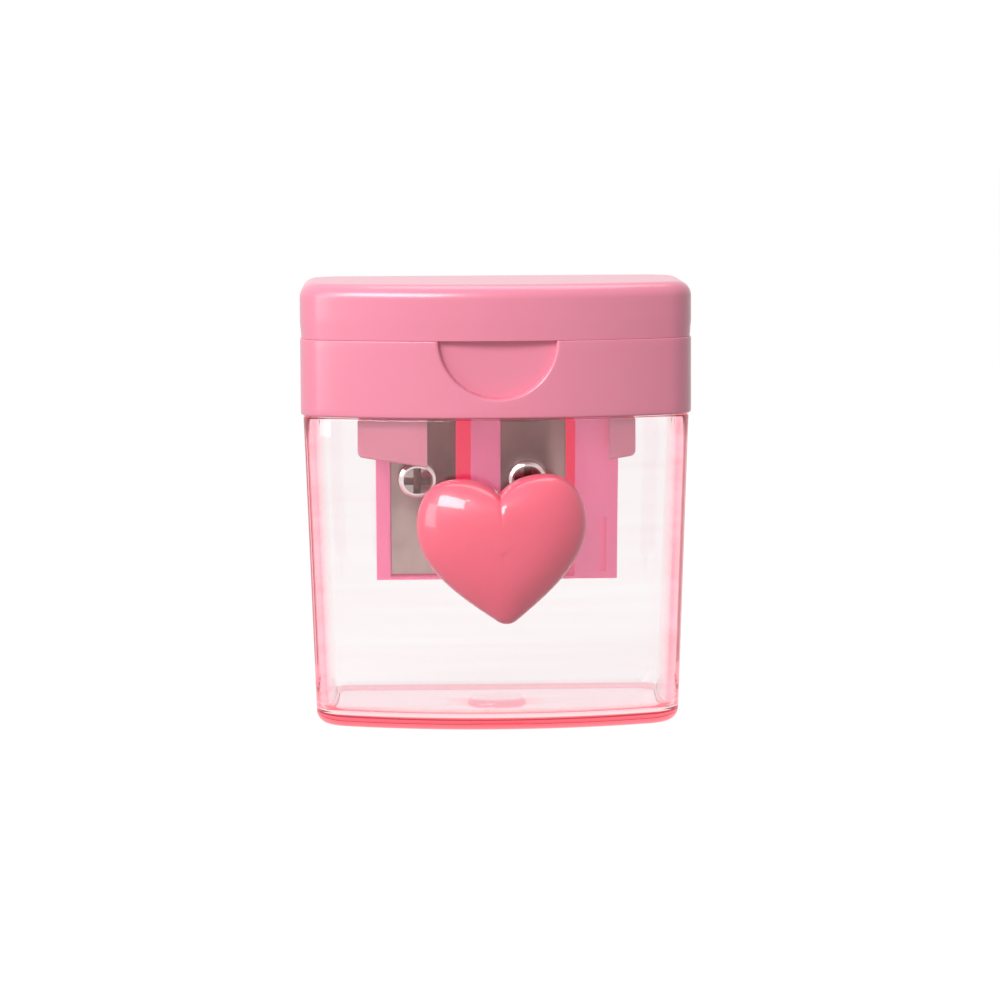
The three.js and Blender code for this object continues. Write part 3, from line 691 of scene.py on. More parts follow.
# %% The finger notch
NOTCH_RADIUS = 7.15 * MM
NOTCH_CENTRE = lid_low.z
NOTCH_FLOOR = FRONT + 1.4 * MM
NOTCH_WALL = 1.0 * MM
NOTCH_EDGE = 0.42 * MM
NOTCH_STEPS = 60
WIDE = 60 * MM


def front_face(x, inset=0.0):
    """The y of the bowed front at an x."""
    return FRONT + BOW - math.sqrt((BOW - inset) ** 2 - x**2)


def half_disc(radius, y_at):
    """A loop round a half disc that hangs from the collar's top edge, at the y given for each x."""
    top = COLLAR_TOP + 1 * MM
    ring = [(radius, top)]
    for i in range(NOTCH_STEPS + 1):
        turn = -math.pi * i / NOTCH_STEPS
        ring.append((radius * math.cos(turn), NOTCH_CENTRE + radius * math.sin(turn)))
    ring.append((-radius, top))
    return [(x, y_at(x), z) for x, z in ring]


def notch_cutter():
    """Opens out over the last bit below the bowed face, which leaves a round bright edge."""
    loops = [half_disc(NOTCH_RADIUS - 0.1 * MM, lambda x: NOTCH_FLOOR)]
    for inset, rise in reversed(quarter_round(NOTCH_EDGE, 5)):
        radius = NOTCH_RADIUS + inset
        loops.append(half_disc(radius, lambda x, depth=rise: front_face(x) + depth))
    widest = NOTCH_RADIUS + NOTCH_EDGE
    loops.append(half_disc(widest + 0.02 * MM, lambda x: front_face(x) - 2 * MM))
    return stack("notch_cutter", loops)


def notch_backing():
    """The wall that closes the notch behind."""
    radius = NOTCH_RADIUS + NOTCH_WALL
    loops = [
        half_disc(radius, lambda x: NOTCH_FLOOR + NOTCH_WALL),
        half_disc(radius, lambda x: front_face(x) + COLLAR_WALL / 2),
    ]
    backing = stack("notch_backing", loops)
    top = COLLAR_TOP - COLLAR_DECK / 2
    lid_space = block("trim", (-WIDE, -WIDE, top), (WIDE, WIDE, top + WIDE))
    return combine(backing, "DIFFERENCE", [lid_space])


# %% [markdown]
# ## Tongues, lugs and the block's well
# Two tongues reach down inside the tub and hold the head in place. Two lugs with open bores carry
# the lid's pins, and the deck has a stepped well for the block. They are separate closed shapes,
# so each can be changed without touching the band.

# %% The tongues, the lugs and the well
TONGUE_INSET = 2.15 * MM
TONGUE_THICKNESS = 1.1 * MM
TONGUES = [(-16.85 * MM, -8.5 * MM), (16.7 * MM, 13.5 * MM)]
TONGUE_BOTTOM = 33.35 * MM
TONGUE_SLOPE = 0.135
TONGUE_CORNER = 0.6 * MM
TONGUE_EDGE = 0.15 * MM
TONGUE_STEPS = 24
HINGE_Y = frame["joints"][1]["pos_m"][1]
HINGE_Z = frame["joints"][1]["pos_m"][2]
LUG_X = 13.5 * MM
LUG_RADIUS = 1.6 * MM
LUG_WIDTH = 3.0 * MM
PIN_RADIUS = 0.8 * MM
PIN_BORE = 1.05 * MM
PIN_MOUTH = 1.4 * MM


def tongue(outer, inner):
    """A bowed strip inside the tub's front wall, lower towards the middle, one corner rounded."""
    columns = []
    for i in range(TONGUE_STEPS + 1):
        x = outer + (inner - outer) * (i / TONGUE_STEPS) ** 1.6
        along = abs(x - outer)
        bottom = TONGUE_BOTTOM - TONGUE_SLOPE * along
        if along < TONGUE_CORNER:
            bottom += TONGUE_CORNER - math.sqrt(TONGUE_CORNER**2 - (TONGUE_CORNER - along) ** 2)
        columns.append((x, bottom))
    top = COLLAR_BOTTOM + 2.6 * MM

    def strip(inset, rise):
        low = [(x, front_face(x, inset), z + rise) for x, z in columns]
        high = [(x, front_face(x, inset), top) for x, _ in reversed(columns)]
        return low + high

    edge = TONGUE_EDGE
    front, back = TONGUE_INSET, TONGUE_INSET + TONGUE_THICKNESS
    loops = [strip(front, edge), strip(front + edge, 0), strip(back - edge, 0), strip(back, edge)]
    return stack("tongue", loops)


def hinge_lug(x):
    """An upright lug with a bore that is open at the top."""
    x0, x1 = x - LUG_WIDTH / 2, x + LUG_WIDTH / 2
    foot = COLLAR_TOP - COLLAR_DECK / 2
    post = block("lug", (x0, HINGE_Y - LUG_RADIUS, foot), (x1, HINGE_Y + LUG_RADIUS, HINGE_Z))
    combine(post, "UNION", [bar_x("lug_head", LUG_RADIUS, x0, x1, HINGE_Y, HINGE_Z)])
    bore = bar_x("bore", PIN_BORE, x0 - MM, x1 + MM, HINGE_Y, HINGE_Z, 40)
    half = PIN_MOUTH / 2
    mouth = block(
        "mouth",
        (x0 - MM, HINGE_Y - half, HINGE_Z),
        (x1 + MM, HINGE_Y + half, HINGE_Z + 3 * MM),
    )
    return combine(post, "DIFFERENCE", [bore, mouth])


block_low, block_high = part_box("sharpening_block")
FLANGE = 1.2 * MM
FLANGE_FRONT = 0.4 * MM


def block_well():
    """The stepped opening in the deck that the block drops into."""
    ledge = COLLAR_TOP - 1.2 * MM
    above = COLLAR_TOP + 1 * MM
    rebate = block(
        "rebate",
        (block_low.x - GAP, block_low.y - GAP, ledge),
        (block_high.x + GAP, block_high.y + GAP, above),
    )
    inner = FLANGE - GAP
    through = block(
        "through",
        (block_low.x + inner, block_low.y + FLANGE_FRONT - GAP, COLLAR_BOTTOM),
        (block_high.x - inner, block_high.y - inner, above),
    )
    return [rebate, through]


# %% [markdown]
# ## Join, then cut
# Everything is joined to the band first and the openings are cut last, so that no joined shape can
# close an opening again.

# %% Build the collar
def make_collar():
    collar = make_band()
    tongues = [tongue(outer, inner) for outer, inner in TONGUES]
    combine(collar, "UNION", [notch_backing(), *tongues, hinge_lug(-LUG_X), hinge_lug(LUG_X)])
    combine(collar, "DIFFERENCE", [notch_cutter(), *block_well()])
    return smooth(collar, 40)


collar = make_collar()

# %% [markdown]
# ## The lid
# The flip lid is a shallow hollow cap with a generous round along its top edge, which is where the
# long bright highlight sits. Its lower edge stands back by a hair, so the collar's shoulder catches
# the light along the seam. The lower rear edge is rolled about the hinge line so that the lid can
# swing back over the collar, and two windows make room for the collar's lugs. Between the windows'
# sides run the pins that clip into the lugs.

# %% Build the lid
LID_EDGE = 0.03 * MM
LID_STEP = 0.14 * MM
LID_TOP_RADIUS = 1.8 * MM
BARREL = 1.85 * MM
KNUCKLE = 3.6 * MM


def make_cap():
    bottom, top = LID_BOTTOM, LID_TOP
    ceiling_z = top - LID_WALL
    ceiling = [
        shell_loop(LID_WALL + inset, ceiling_z - rise)
        for inset, rise in quarter_round(0.8 * MM, 5)
    ]
    lip_in = [
        shell_loop(LID_WALL - inset, bottom + rise)
        for inset, rise in reversed(quarter_round(0.2 * MM, 3))
    ]
    lip_out = [
        shell_loop(LID_STEP + inset, bottom + rise)
        for inset, rise in quarter_round(LID_EDGE, 4)
    ]
    outer = [shell_loop(LID_STEP, bottom + 0.3 * MM)]
    outer += [shell_loop(0, z) for z in np.linspace(bottom + 2 * MM, top - 2.4 * MM, 4)]
    shoulder = [
        shell_loop(inset, top - rise) for inset, rise in reversed(quarter_round(LID_TOP_RADIUS, 12))
    ]
    crown = [shell_loop(LID_TOP_RADIUS + inset, top) for inset in (0.6 * MM, 2 * MM)]
    return stack("lid_shell", [*ceiling, *lip_in, *lip_out, *outer, *shoulder, *crown])


def lug_window(x):
    half = LUG_WIDTH / 2 + GAP
    reach = LUG_RADIUS + GAP + 0.1 * MM
    low = (x - half, HINGE_Y - reach, LID_BOTTOM - MM)
    return block("window", low, (x + half, WIDE, HINGE_Z + reach))


def knuckles_and_pin(x):
    half = LUG_WIDTH / 2 + GAP
    end = half + KNUCKLE
    return [
        bar_x("pin", PIN_RADIUS, x - end + 0.1 * MM, x + end - 0.1 * MM, HINGE_Y, HINGE_Z, 40),
        bar_x("knuckle", BARREL, x - end, x - half, HINGE_Y, HINGE_Z),
        bar_x("knuckle", BARREL, x + half, x + end, HINGE_Y, HINGE_Z),
    ]


def make_lid():
    lid = make_cap()
    rear_corner = block("rear_corner", (-WIDE, HINGE_Y, LID_BOTTOM - MM), (WIDE, WIDE, HINGE_Z))
    roll = bar_x("roll", BARREL + 0.04 * MM, -WIDE, WIDE, HINGE_Y, HINGE_Z, 96)
    combine(rear_corner, "DIFFERENCE", [roll])
    combine(lid, "DIFFERENCE", [rear_corner, lug_window(-LUG_X), lug_window(LUG_X)])
    combine(lid, "UNION", [*knuckles_and_pin(-LUG_X), *knuckles_and_pin(LUG_X)])
    return smooth(lid, 40)


lid = make_lid()

# %% [markdown]
# ## The sharpening block
# The block is a moulding with two conical holes, two leaning seats for the blades and a slot beside
# each cutting edge. All of that is already true in the mechanical model, so the piece is a welded
# copy of it with its sharp edges softened, which is how a real moulding leaves the tool. The faces
# round the cones are marked, because light comes through the thin plastic there.

# %% Welded copies with soft edges
def welded_copy(node, name, flat_angle=1.0):
    """The node's own mesh with its loose triangles merged into whole flat faces."""
    source = frame["nodes"][node]
    mesh = source.data.copy()
    mesh.name = name
    mesh.transform(source.matrix_world)
    work = bmesh.new()
    work.from_mesh(mesh)
    bmesh.ops.remove_doubles(work, verts=work.verts, dist=0.002 * MM)
    bmesh.ops.dissolve_limit(
        work,
        angle_limit=math.radians(flat_angle),
        verts=work.verts,
        edges=work.edges,
        delimit=set(),
    )
    work.to_mesh(mesh)
    work.free()
    return link_mesh(name, mesh)


sharpening_block = welded_copy("sharpening_block", "block_moulding")
soften_edges(sharpening_block, 0.18 * MM)
smooth(sharpening_block, 40)

# %% Mark the faces inside the pencil holes and the slots
BLADE_TILT = math.radians(11.5)
BLADE_SIZES = ("standard", "jumbo")
HOLLOW_REACH = 1.65 * MM
BEHIND_BLADE = 0.1 * MM


def mark_hollows(piece):
    """Stores 1 on every face that lies round a pencil's cone, and 0 elsewhere."""
    mark = piece.data.attributes.new("hollow", "FLOAT", "FACE")
    holes = []
    for size in BLADE_SIZES:
        low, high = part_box(f"blade_{size}")
        holes.append((high.x, high.y, low.z))
    for face in piece.data.polygons:
        for axis_x, axis_y, tip in holes:
            lean = (face.center.z - tip) * math.tan(BLADE_TILT)
            away = math.hypot(face.center.x - axis_x, face.center.y - axis_y)
            behind = face.center.y > axis_y - lean + BEHIND_BLADE
            if away < max(lean, 0) + HOLLOW_REACH and behind:
                mark.data[face.index].value = 1.0


mark_hollows(sharpening_block)

# %% [markdown]
# ## Pink moulded plastic
# The lid and the collar are one opaque pink plastic. The block wears a brighter, cooler copy of it, and
# that brightness is painted light: it stands in for the lamp light that the clear tub holds back from
# the block, together with a painted glow. It is glossy but not polished: the highlight is broad with
# soft ends. A little light scatters below the surface, which keeps the shaded side warm. Faint clouds
# in the colour and a very shallow waviness are what a mould leaves. The roughness stays just above 0.28
# all over: where it crosses that value, the removal of render grain treats the two sides differently
# and leaves hard-edged patches.

# %% Make the pink plastic
PINK = (0.80, 0.235, 0.34)
PINK_PALE = (0.81, 0.25, 0.355)
# The block's two pinks are brighter than the shells': painted light, for the lamp light that the clear
# tub holds back from the block.
BLOCK_PINK_LIT = (0.95, 0.19, 0.37)
BLOCK_PINK_LIT_PALE = (0.96, 0.205, 0.39)
# Painted glows: a faint one over the whole block and a stronger one round the cones and slots.
BODY_GLOW = (0.17, 0.04, 0.08)
HOLLOW_GLOW = (0.22, 0.010, 0.045)


def pink_plastic(name, pink, pale):
    material, nodes, links, shader = new_finish(name)
    clouds = surface_noise(nodes, links, 55)
    links.new(blend_colours(nodes, links, clouds, pink, pale), shader.inputs["Base Color"])
    links.new(spread(nodes, links, clouds, 0.285, 0.305), shader.inputs["Roughness"])
    shader.inputs["Coat Weight"].default_value = 0.4
    shader.inputs["Coat Roughness"].default_value = 0.16
    shader.inputs["Subsurface Weight"].default_value = 0.06
    shader.inputs["Subsurface Radius"].default_value = (1.0, 0.35, 0.4)
    shader.inputs["Subsurface Scale"].default_value = 1.2 * MM
    waves = surface_noise(nodes, links, 30, detail=0)
    ripple(nodes, links, waves, shader, 0.004 * MM)
    return material


def light_through_block(material):
    """Paints a glow over the whole block, and a stronger one round the pencil cones where light comes
    through the thin plastic.
    """
    nodes, links = material.node_tree.nodes, material.node_tree.links
    shader = nodes["Principled BSDF"]
    mark = nodes.new("ShaderNodeAttribute")
    mark.attribute_name = "hollow"
    colour = nodes.new("ShaderNodeMix")
    colour.data_type = "RGBA"
    colour.inputs["A"].default_value = (*BODY_GLOW, 1)
    colour.inputs["B"].default_value = (*HOLLOW_GLOW, 1)
    links.new(mark.outputs["Fac"], colour.inputs["Factor"])
    links.new(colour.outputs["Result"], shader.inputs["Emission Color"])
    shader.inputs["Emission Strength"].default_value = 1.0
    return material


shell_pink = pink_plastic("pink_plastic", PINK, PINK_PALE)
block_pink_lit = pink_plastic("pink_block_plastic_lit", BLOCK_PINK_LIT, BLOCK_PINK_LIT_PALE)
light_through_block(block_pink_lit)
dress(collar, shell_pink, "head", "pink_plastic", "collar")
dress(lid, shell_pink, "lid", "pink_plastic", "lid")
dress(sharpening_block, block_pink_lit, "head", "pink_plastic", "sharpening_block")

# %% [markdown]
# ## The blades
# Each blade is a flat strip of hardened steel with one ground bevel. The flat is rolled and dull, and
# the bevel is freshly ground, brighter and lined across the edge; here flat and bevel wear the same
# grained steel.

# %% Build the blades
def make_blade(size):
    blade = welded_copy(f"blade_{size}", f"{size}_blade")
    soften_edges(blade, 0.03 * MM, segments=1, angle=50)
    return smooth(blade, 30)


STEEL = (0.42, 0.29, 0.27)
STEEL_PALE = (0.56, 0.41, 0.38)
STEEL_IN_SHADE = (0.27, 0.11, 0.11, 1)
SHADE_DEPTH = 12 * MM


def blade_steel():
    """Grained steel that grows darker towards the collar, which closes off the light above."""
    material, nodes, links, shader = new_finish("blade_steel")
    shader.inputs["Metallic"].default_value = 1.0
    grain = surface_noise(nodes, links, 260, detail=6, stretch=(12, 12, 0.5))
    stains = surface_noise(nodes, links, 160, detail=4)
    bare = blend_colours(nodes, links, stains, STEEL, STEEL_PALE)
    place = nodes.new("ShaderNodeTexCoord")
    height = nodes.new("ShaderNodeSeparateXYZ")
    links.new(place.outputs["Object"], height.inputs["Vector"])
    upper = nodes.new("ShaderNodeMapRange")
    upper.inputs["From Min"].default_value = container_high.z - SHADE_DEPTH
    upper.inputs["From Max"].default_value = container_high.z
    links.new(height.outputs["Z"], upper.inputs["Value"])
    shaded = nodes.new("ShaderNodeMix")
    shaded.data_type = "RGBA"
    links.new(upper.outputs["Result"], shaded.inputs["Factor"])
    links.new(bare, shaded.inputs["A"])
    shaded.inputs["B"].default_value = STEEL_IN_SHADE
    links.new(shaded.outputs["Result"], shader.inputs["Base Color"])
    links.new(spread(nodes, links, grain, 0.29, 0.42), shader.inputs["Roughness"])
    ripple(nodes, links, grain, shader, 0.006 * MM)
    return material


steel = blade_steel()
blades = {size: make_blade(size) for size in BLADE_SIZES}
for size, blade in blades.items():
    dress(blade, steel, "head", "blade_steel", f"blade_{size}")

# %% [markdown]
# ## The two screws
# The screws are alike: a pan head with a cross recess on a threaded shank. A thread repeats by a
# rule, so the screw is made with Geometry Nodes. A flat grid is rolled up: one way across it goes
# round the screw, the other way runs down from the head's middle to the tip. Two boxes cut the
# cross, and the finished screw is set on a point for each blade.

# %% A node tree that rolls up a screw
HEAD_RADIUS = 2.42 * MM
HEAD_HEIGHT = 1.5 * MM
SHANK_RADIUS = 1.25 * MM
SHANK_LENGTH = 5.8 * MM
THREAD_PITCH = 0.8 * MM
THREAD_DEPTH = 0.22 * MM
RECESS_ARM = 1.6 * MM
RECESS_WIDTH = 0.95 * MM
RECESS_DEPTH = 1.1 * MM
SCREW_INPUTS = {
    "Head Radius": HEAD_RADIUS,
    "Head Height": HEAD_HEIGHT,
    "Shank Radius": SHANK_RADIUS,
    "Shank Length": SHANK_LENGTH,
    "Thread Pitch": THREAD_PITCH,
    "Thread Depth": THREAD_DEPTH,
    "Recess Arm": RECESS_ARM,
    "Recess Width": RECESS_WIDTH,
    "Recess Depth": RECESS_DEPTH,
}
# Along the rolled grid: share of the way, share of the head's radius, share of the head's height.
HEAD_PROFILE = [
    (0.00, 0.00, 1.00),
    (0.10, 0.45, 1.00),
    (0.20, 0.78, 0.90),
    (0.28, 0.94, 0.68),
    (0.34, 1.00, 0.38),
    (0.38, 1.00, 0.06),
    (0.39, 0.97, 0.00),
]
SHANK_START = 0.42


class Tree:
    """Short ways to add and link nodes in a geometry tree."""

    def __init__(self, name):
        self.group = bpy.data.node_groups.new(name, "GeometryNodeTree")
        self.group.is_modifier = True
        self.group.interface.new_socket("Geometry", in_out="OUTPUT", socket_type="NodeSocketGeometry")

    def add(self, kind, **values):
        node = self.group.nodes.new(kind)
        for key, value in values.items():
            setattr(node, key, value)
        return node

    def link(self, source, target):
        self.group.links.new(source, target)

    def number(self, name, value):
        socket = self.group.interface.new_socket(name, in_out="INPUT", socket_type="NodeSocketFloat")
        socket.default_value = value
        return socket

    def put(self, value, socket):
        if isinstance(value, bpy.types.NodeSocket):
            self.link(value, socket)
        else:
            socket.default_value = value

    def math(self, operation, first, second=0.0, third=0.0):
        node = self.add("ShaderNodeMath", operation=operation)
        for value, socket in zip((first, second, third), node.inputs):
            self.put(value, socket)
        return node.outputs[0]

    def vector(self, x, y, z):
        node = self.add("ShaderNodeCombineXYZ")
        for value, socket in zip((x, y, z), node.inputs):
            self.put(value, socket)
        return node.outputs[0]

    def curve(self, along, points):
        """A float curve through points, with straight runs between them."""
        node = self.add("ShaderNodeFloatCurve")
        line = node.mapping.curves[0]
        while len(line.points) > 2:
            line.points.remove(line.points[-1])
        line.points[0].location, line.points[1].location = points[0], points[-1]
        for place in points[1:-1]:
            line.points.new(*place)
        for point in line.points:
            point.handle_type = "VECTOR"
        node.mapping.update()
        self.link(along, node.inputs["Value"])
        return node.outputs[0]


# %% [markdown]
# ## Rolling the grid into a screw
# Each point of the grid has a way round and a way down. Two curves turn the way down into radius
# and height for the head. For the shank, a zigzag of the way down plus the way round makes the
# ridge climb as a helix, which is all that a thread is.

# %% Roll the grid
AROUND = 72
ALONG = 150
FLAT_SHADE = 0.55


def rolled_screw(tree, given):
    """Head and threaded shank as one rolled grid, head up."""
    grid = tree.add("GeometryNodeMeshGrid")
    counts = {"Size X": 1.0, "Size Y": 1.0, "Vertices X": AROUND, "Vertices Y": ALONG}
    for name, value in counts.items():
        grid.inputs[name].default_value = value
    place = tree.add("ShaderNodeSeparateXYZ")
    tree.link(tree.add("GeometryNodeInputPosition").outputs[0], place.inputs[0])
    turn = tree.math("ADD", place.outputs["X"], 0.5)
    along = tree.math("ADD", place.outputs["Y"], 0.5)
    radius_share = tree.curve(along, [(a, r) for a, r, _ in HEAD_PROFILE])
    height_share = tree.curve(along, [(a, h) for a, _, h in HEAD_PROFILE])
    head_radius = tree.math("MULTIPLY", radius_share, given["Head Radius"])
    head_height = tree.math("MULTIPLY", height_share, given["Head Height"])
    down = tree.math("DIVIDE", tree.math("SUBTRACT", along, SHANK_START), 1 - SHANK_START)
    depth = tree.math("MULTIPLY", tree.math("MAXIMUM", down, 0.0), given["Shank Length"])
    turns = tree.math("ADD", tree.math("DIVIDE", depth, given["Thread Pitch"]), turn)
    wave = tree.math("PINGPONG", turns, 0.5)
    groove = tree.math("MULTIPLY", tree.math("MULTIPLY", wave, 2.0), given["Thread Depth"])
    taper = tree.curve(down, [(0.0, 1.0), (0.86, 1.0), (0.97, 0.35), (1.0, 0.0)])
    threaded = tree.math("SUBTRACT", given["Shank Radius"], groove)
    shank_radius = tree.math("MULTIPLY", threaded, taper)
    on_shank = tree.math("GREATER_THAN", along, SHANK_START - 0.01)
    radius = tree.add("ShaderNodeMix", data_type="FLOAT")
    for socket, value in zip(radius.inputs, (on_shank, None, head_radius, shank_radius)):
        if value is not None:
            tree.put(value, socket)
    height = tree.math("SUBTRACT", head_height, depth)
    angle = tree.math("MULTIPLY", turn, 2 * math.pi)
    x = tree.math("MULTIPLY", radius.outputs[0], tree.math("COSINE", angle))
    y = tree.math("MULTIPLY", radius.outputs[0], tree.math("SINE", angle))
    shaped = tree.add("GeometryNodeSetPosition")
    tree.link(grid.outputs["Mesh"], shaped.inputs["Geometry"])
    tree.link(tree.vector(x, y, height), shaped.inputs["Position"])
    merged = tree.add("GeometryNodeMergeByDistance")
    merged.inputs["Distance"].default_value = 0.001 * MM
    tree.link(shaped.outputs[0], merged.inputs["Geometry"])
    return merged.outputs[0]


def recess_bar(tree, length, width, depth, top):
    """One arm-to-arm bar of the cross, reaching down from above the head."""
    cube = tree.add("GeometryNodeMeshCube")
    above = 1 * MM
    tree.link(tree.vector(length, width, tree.math("ADD", depth, above)), cube.inputs["Size"])
    moved = tree.add("GeometryNodeTransform")
    middle = tree.math("SUBTRACT", tree.math("ADD", top, above / 2), tree.math("MULTIPLY", depth, 0.5))
    tree.link(cube.outputs["Mesh"], moved.inputs["Geometry"])
    tree.link(tree.vector(0.0, 0.0, middle), moved.inputs["Translation"])
    return moved.outputs[0]


def marked_recess(tree, mesh, given):
    """Stores where shade is painted: 1 on the faces inside the cross and FLAT_SHADE on the flat of the
    head.
    """
    place = tree.add("ShaderNodeSeparateXYZ")
    tree.link(tree.add("GeometryNodeInputPosition").outputs[0], place.inputs[0])
    square = tree.math("MULTIPLY", place.outputs["X"], place.outputs["X"])
    square = tree.math("MULTIPLY_ADD", place.outputs["Y"], place.outputs["Y"], square)
    from_axis = tree.math("SQRT", square)
    near = tree.math("LESS_THAN", from_axis, tree.math("MULTIPLY", given["Recess Arm"], 1.01))
    top = tree.math("SUBTRACT", given["Head Height"], 0.12 * MM)
    below = tree.math("LESS_THAN", place.outputs["Z"], top)
    mark = tree.add("GeometryNodeStoreNamedAttribute", data_type="FLOAT", domain="FACE")
    mark.inputs["Name"].default_value = "recess"
    tree.link(mesh, mark.inputs["Geometry"])
    flat = tree.math("LESS_THAN", from_axis, tree.math("MULTIPLY", given["Head Radius"], 0.7))
    above = tree.math("SUBTRACT", 1.0, below)
    level = tree.math("MULTIPLY", tree.math("MULTIPLY", flat, FLAT_SHADE), above)
    tree.link(tree.math("MULTIPLY_ADD", near, below, level), mark.inputs["Value"])
    return mark.outputs[0]


# %% [markdown]
# ## Cross and seats
# Two bars cut the cross. The screw is then instanced on a point for each blade, leaned to stand
# square on it, and made real, because only real mesh can be handed over.

# %% Cut the cross and set one screw on each point
def screw_tree(finish):
    tree = Tree("pan_head_screws")
    group = tree.group
    group.interface.new_socket("Geometry", in_out="INPUT", socket_type="NodeSocketGeometry")
    for name, value in SCREW_INPUTS.items():
        tree.number(name, value)
    lean = tree.number("Lean", 0.0)
    source = tree.add("NodeGroupInput")
    given = {name: source.outputs[name] for name in SCREW_INPUTS}
    blank = rolled_screw(tree, given)
    length = tree.math("MULTIPLY", given["Recess Arm"], 2.0)
    sizes = [(length, given["Recess Width"]), (given["Recess Width"], length)]
    cut = tree.add("GeometryNodeMeshBoolean", operation="DIFFERENCE", solver="EXACT")
    tree.link(blank, cut.inputs["Mesh 1"])
    for long_side, short_side in sizes:
        bar = recess_bar(tree, long_side, short_side, given["Recess Depth"], given["Head Height"])
        tree.link(bar, cut.inputs["Mesh 2"])
    seats = tree.add("GeometryNodeInstanceOnPoints")
    tree.link(source.outputs["Geometry"], seats.inputs["Points"])
    tree.link(marked_recess(tree, cut.outputs["Mesh"], given), seats.inputs["Instance"])
    tree.link(tree.vector(source.outputs[lean.name], 0.0, 0.0), seats.inputs["Rotation"])
    real = tree.add("GeometryNodeRealizeInstances")
    tree.link(seats.outputs["Instances"], real.inputs["Geometry"])
    coat = tree.add("GeometryNodeSetMaterial")
    coat.inputs["Material"].default_value = finish
    tree.link(real.outputs[0], coat.inputs["Geometry"])
    tree.link(coat.outputs[0], tree.add("NodeGroupOutput").inputs["Geometry"])
    return group


def set_inputs(modifier, values):
    """Sets a node modifier's inputs by their sockets' identifiers."""
    sockets = modifier.node_group.interface.items_tree
    identifiers = {s.name: s.identifier for s in sockets if s.in_out == "INPUT"}
    for name, value in values.items():
        modifier[identifiers[name]] = value


BLADE_THICKNESS = 0.6 * MM
HOLE_FROM_EDGE = 4.7 * MM
HEAD_GAP = 0.2 * MM


def screw_seat(size):
    """Where the underside of the screw's head sits, in front of the blade's middle."""
    low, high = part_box(f"blade_{size}")
    middle = (low + high) / 2
    out = Vector((0, -math.cos(BLADE_TILT), -math.sin(BLADE_TILT)))
    seat = middle + out * (BLADE_THICKNESS / 2 + HEAD_GAP)
    seat.x = high.x - HOLE_FROM_EDGE
    return seat


# %% [markdown]
# ## Bright plating
# The screws are plated and shine. Shade is painted into the recess and, more weakly, onto the flat of
# the head. The attribute that the tree stored tells the finish where the recess lies, so no second
# material is needed.

# %% The screws' bright plating
CHROME_WORN = (0.72, 0.66, 0.64)
CHROME = (0.86, 0.81, 0.79)
# Painted shade, a dark reddish brown, laid in the cross recess and, at FLAT_SHADE strength, on the flat
# of the head.
PAINTED_RECESS_SHADE = (0.20, 0.07, 0.065, 1)


def screw_plating():
    material, nodes, links, shader = new_finish("screw_chrome")
    shader.inputs["Metallic"].default_value = 1.0
    wear = surface_noise(nodes, links, 900, detail=4)
    bright = blend_colours(nodes, links, wear, CHROME_WORN, CHROME)
    recess = nodes.new("ShaderNodeAttribute")
    recess.attribute_name = "recess"
    painted_shade = nodes.new("ShaderNodeMix")
    painted_shade.data_type = "RGBA"
    links.new(recess.outputs["Fac"], painted_shade.inputs["Factor"])
    links.new(bright, painted_shade.inputs["A"])
    painted_shade.inputs["B"].default_value = PAINTED_RECESS_SHADE
    links.new(painted_shade.outputs["Result"], shader.inputs["Base Color"])
    links.new(spread(nodes, links, wear, 0.10, 0.22), shader.inputs["Roughness"])
    ripple(nodes, links, wear, shader, 0.004 * MM)
    return material


def make_screws():
    plating = screw_plating()
    mesh = bpy.data.meshes.new("blade_screws")
    mesh.from_pydata([screw_seat(size) for size in blades], [], [])
    screws = link_mesh("blade_screws", mesh)
    modifier = screws.modifiers.new("screws", "NODES")
    modifier.node_group = screw_tree(plating)
    set_inputs(modifier, {**SCREW_INPUTS, "Lean": math.pi / 2 + BLADE_TILT})
    apply_modifiers(screws)
    smooth(screws, 35)
    return dress(screws, plating, "head", "screw_chrome", "blade_screw_standard", "blade_screw_jumbo")


screws = make_screws()

# %% [markdown]
# ## The heart
# The heart is a puffy moulding, as if a heart-shaped film had been blown up. That is also how it is
# made here. A soap film over the outline follows Poisson's equation, which a few thousand averaging
# steps on a small square grid solve. About its square root stands up steeply at the edge and is
# flat in the middle, as a balloon is. A second film over the outline without its cleft tells how
# far the cleft should reach into the swelling, and a last averaging softens its end.

# %% The heart's outline
heart_low, heart_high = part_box("heart_ornament")
HEART_WIDTH = 20.5 * MM
HEART_HEIGHT = 18 * MM
HEART_ROLL = math.radians(3.2)
HEART_MIDDLE = Vector((0.45 * MM, heart_high.y, 22.45 * MM))
HEART_DEPTH = heart_high.y - heart_low.y


def bezier(a, b, c, d, steps):
    """Points on a cubic curve, its end left out."""
    found = []
    for i in range(steps):
        t = i / steps
        weights = ((1 - t) ** 3, 3 * t * (1 - t) ** 2, 3 * t * t * (1 - t), t**3)
        found.append(tuple(sum(w * p[k] for w, p in zip(weights, (a, b, c, d))) for k in (0, 1)))
    return found


def heart_outline(steps=22):
    """Right half from the cleft to the tip, then its mirror, drawn in shares of the half sizes."""
    right = [
        ((0, 0.77), (0.16, 0.98), (0.38, 1.0), (0.53, 1.0)),
        ((0.53, 1.0), (0.84, 1.0), (1.0, 0.70), (1.0, 0.34)),
        ((1.0, 0.34), (1.0, -0.22), (0.45, -0.66), (0.14, -0.93)),
        ((0.14, -0.93), (0.09, -0.975), (0.05, -0.995), (0, -0.995)),
    ]
    half = [p for curve in right for p in bezier(*curve, steps if curve is not right[-1] else 6)]
    left = [(-x, z) for x, z in reversed(half[1:])]
    both = half + [(0, -0.995)] + left
    return [(x * HEART_WIDTH / 2, z * HEART_HEIGHT / 2) for x, z in both]


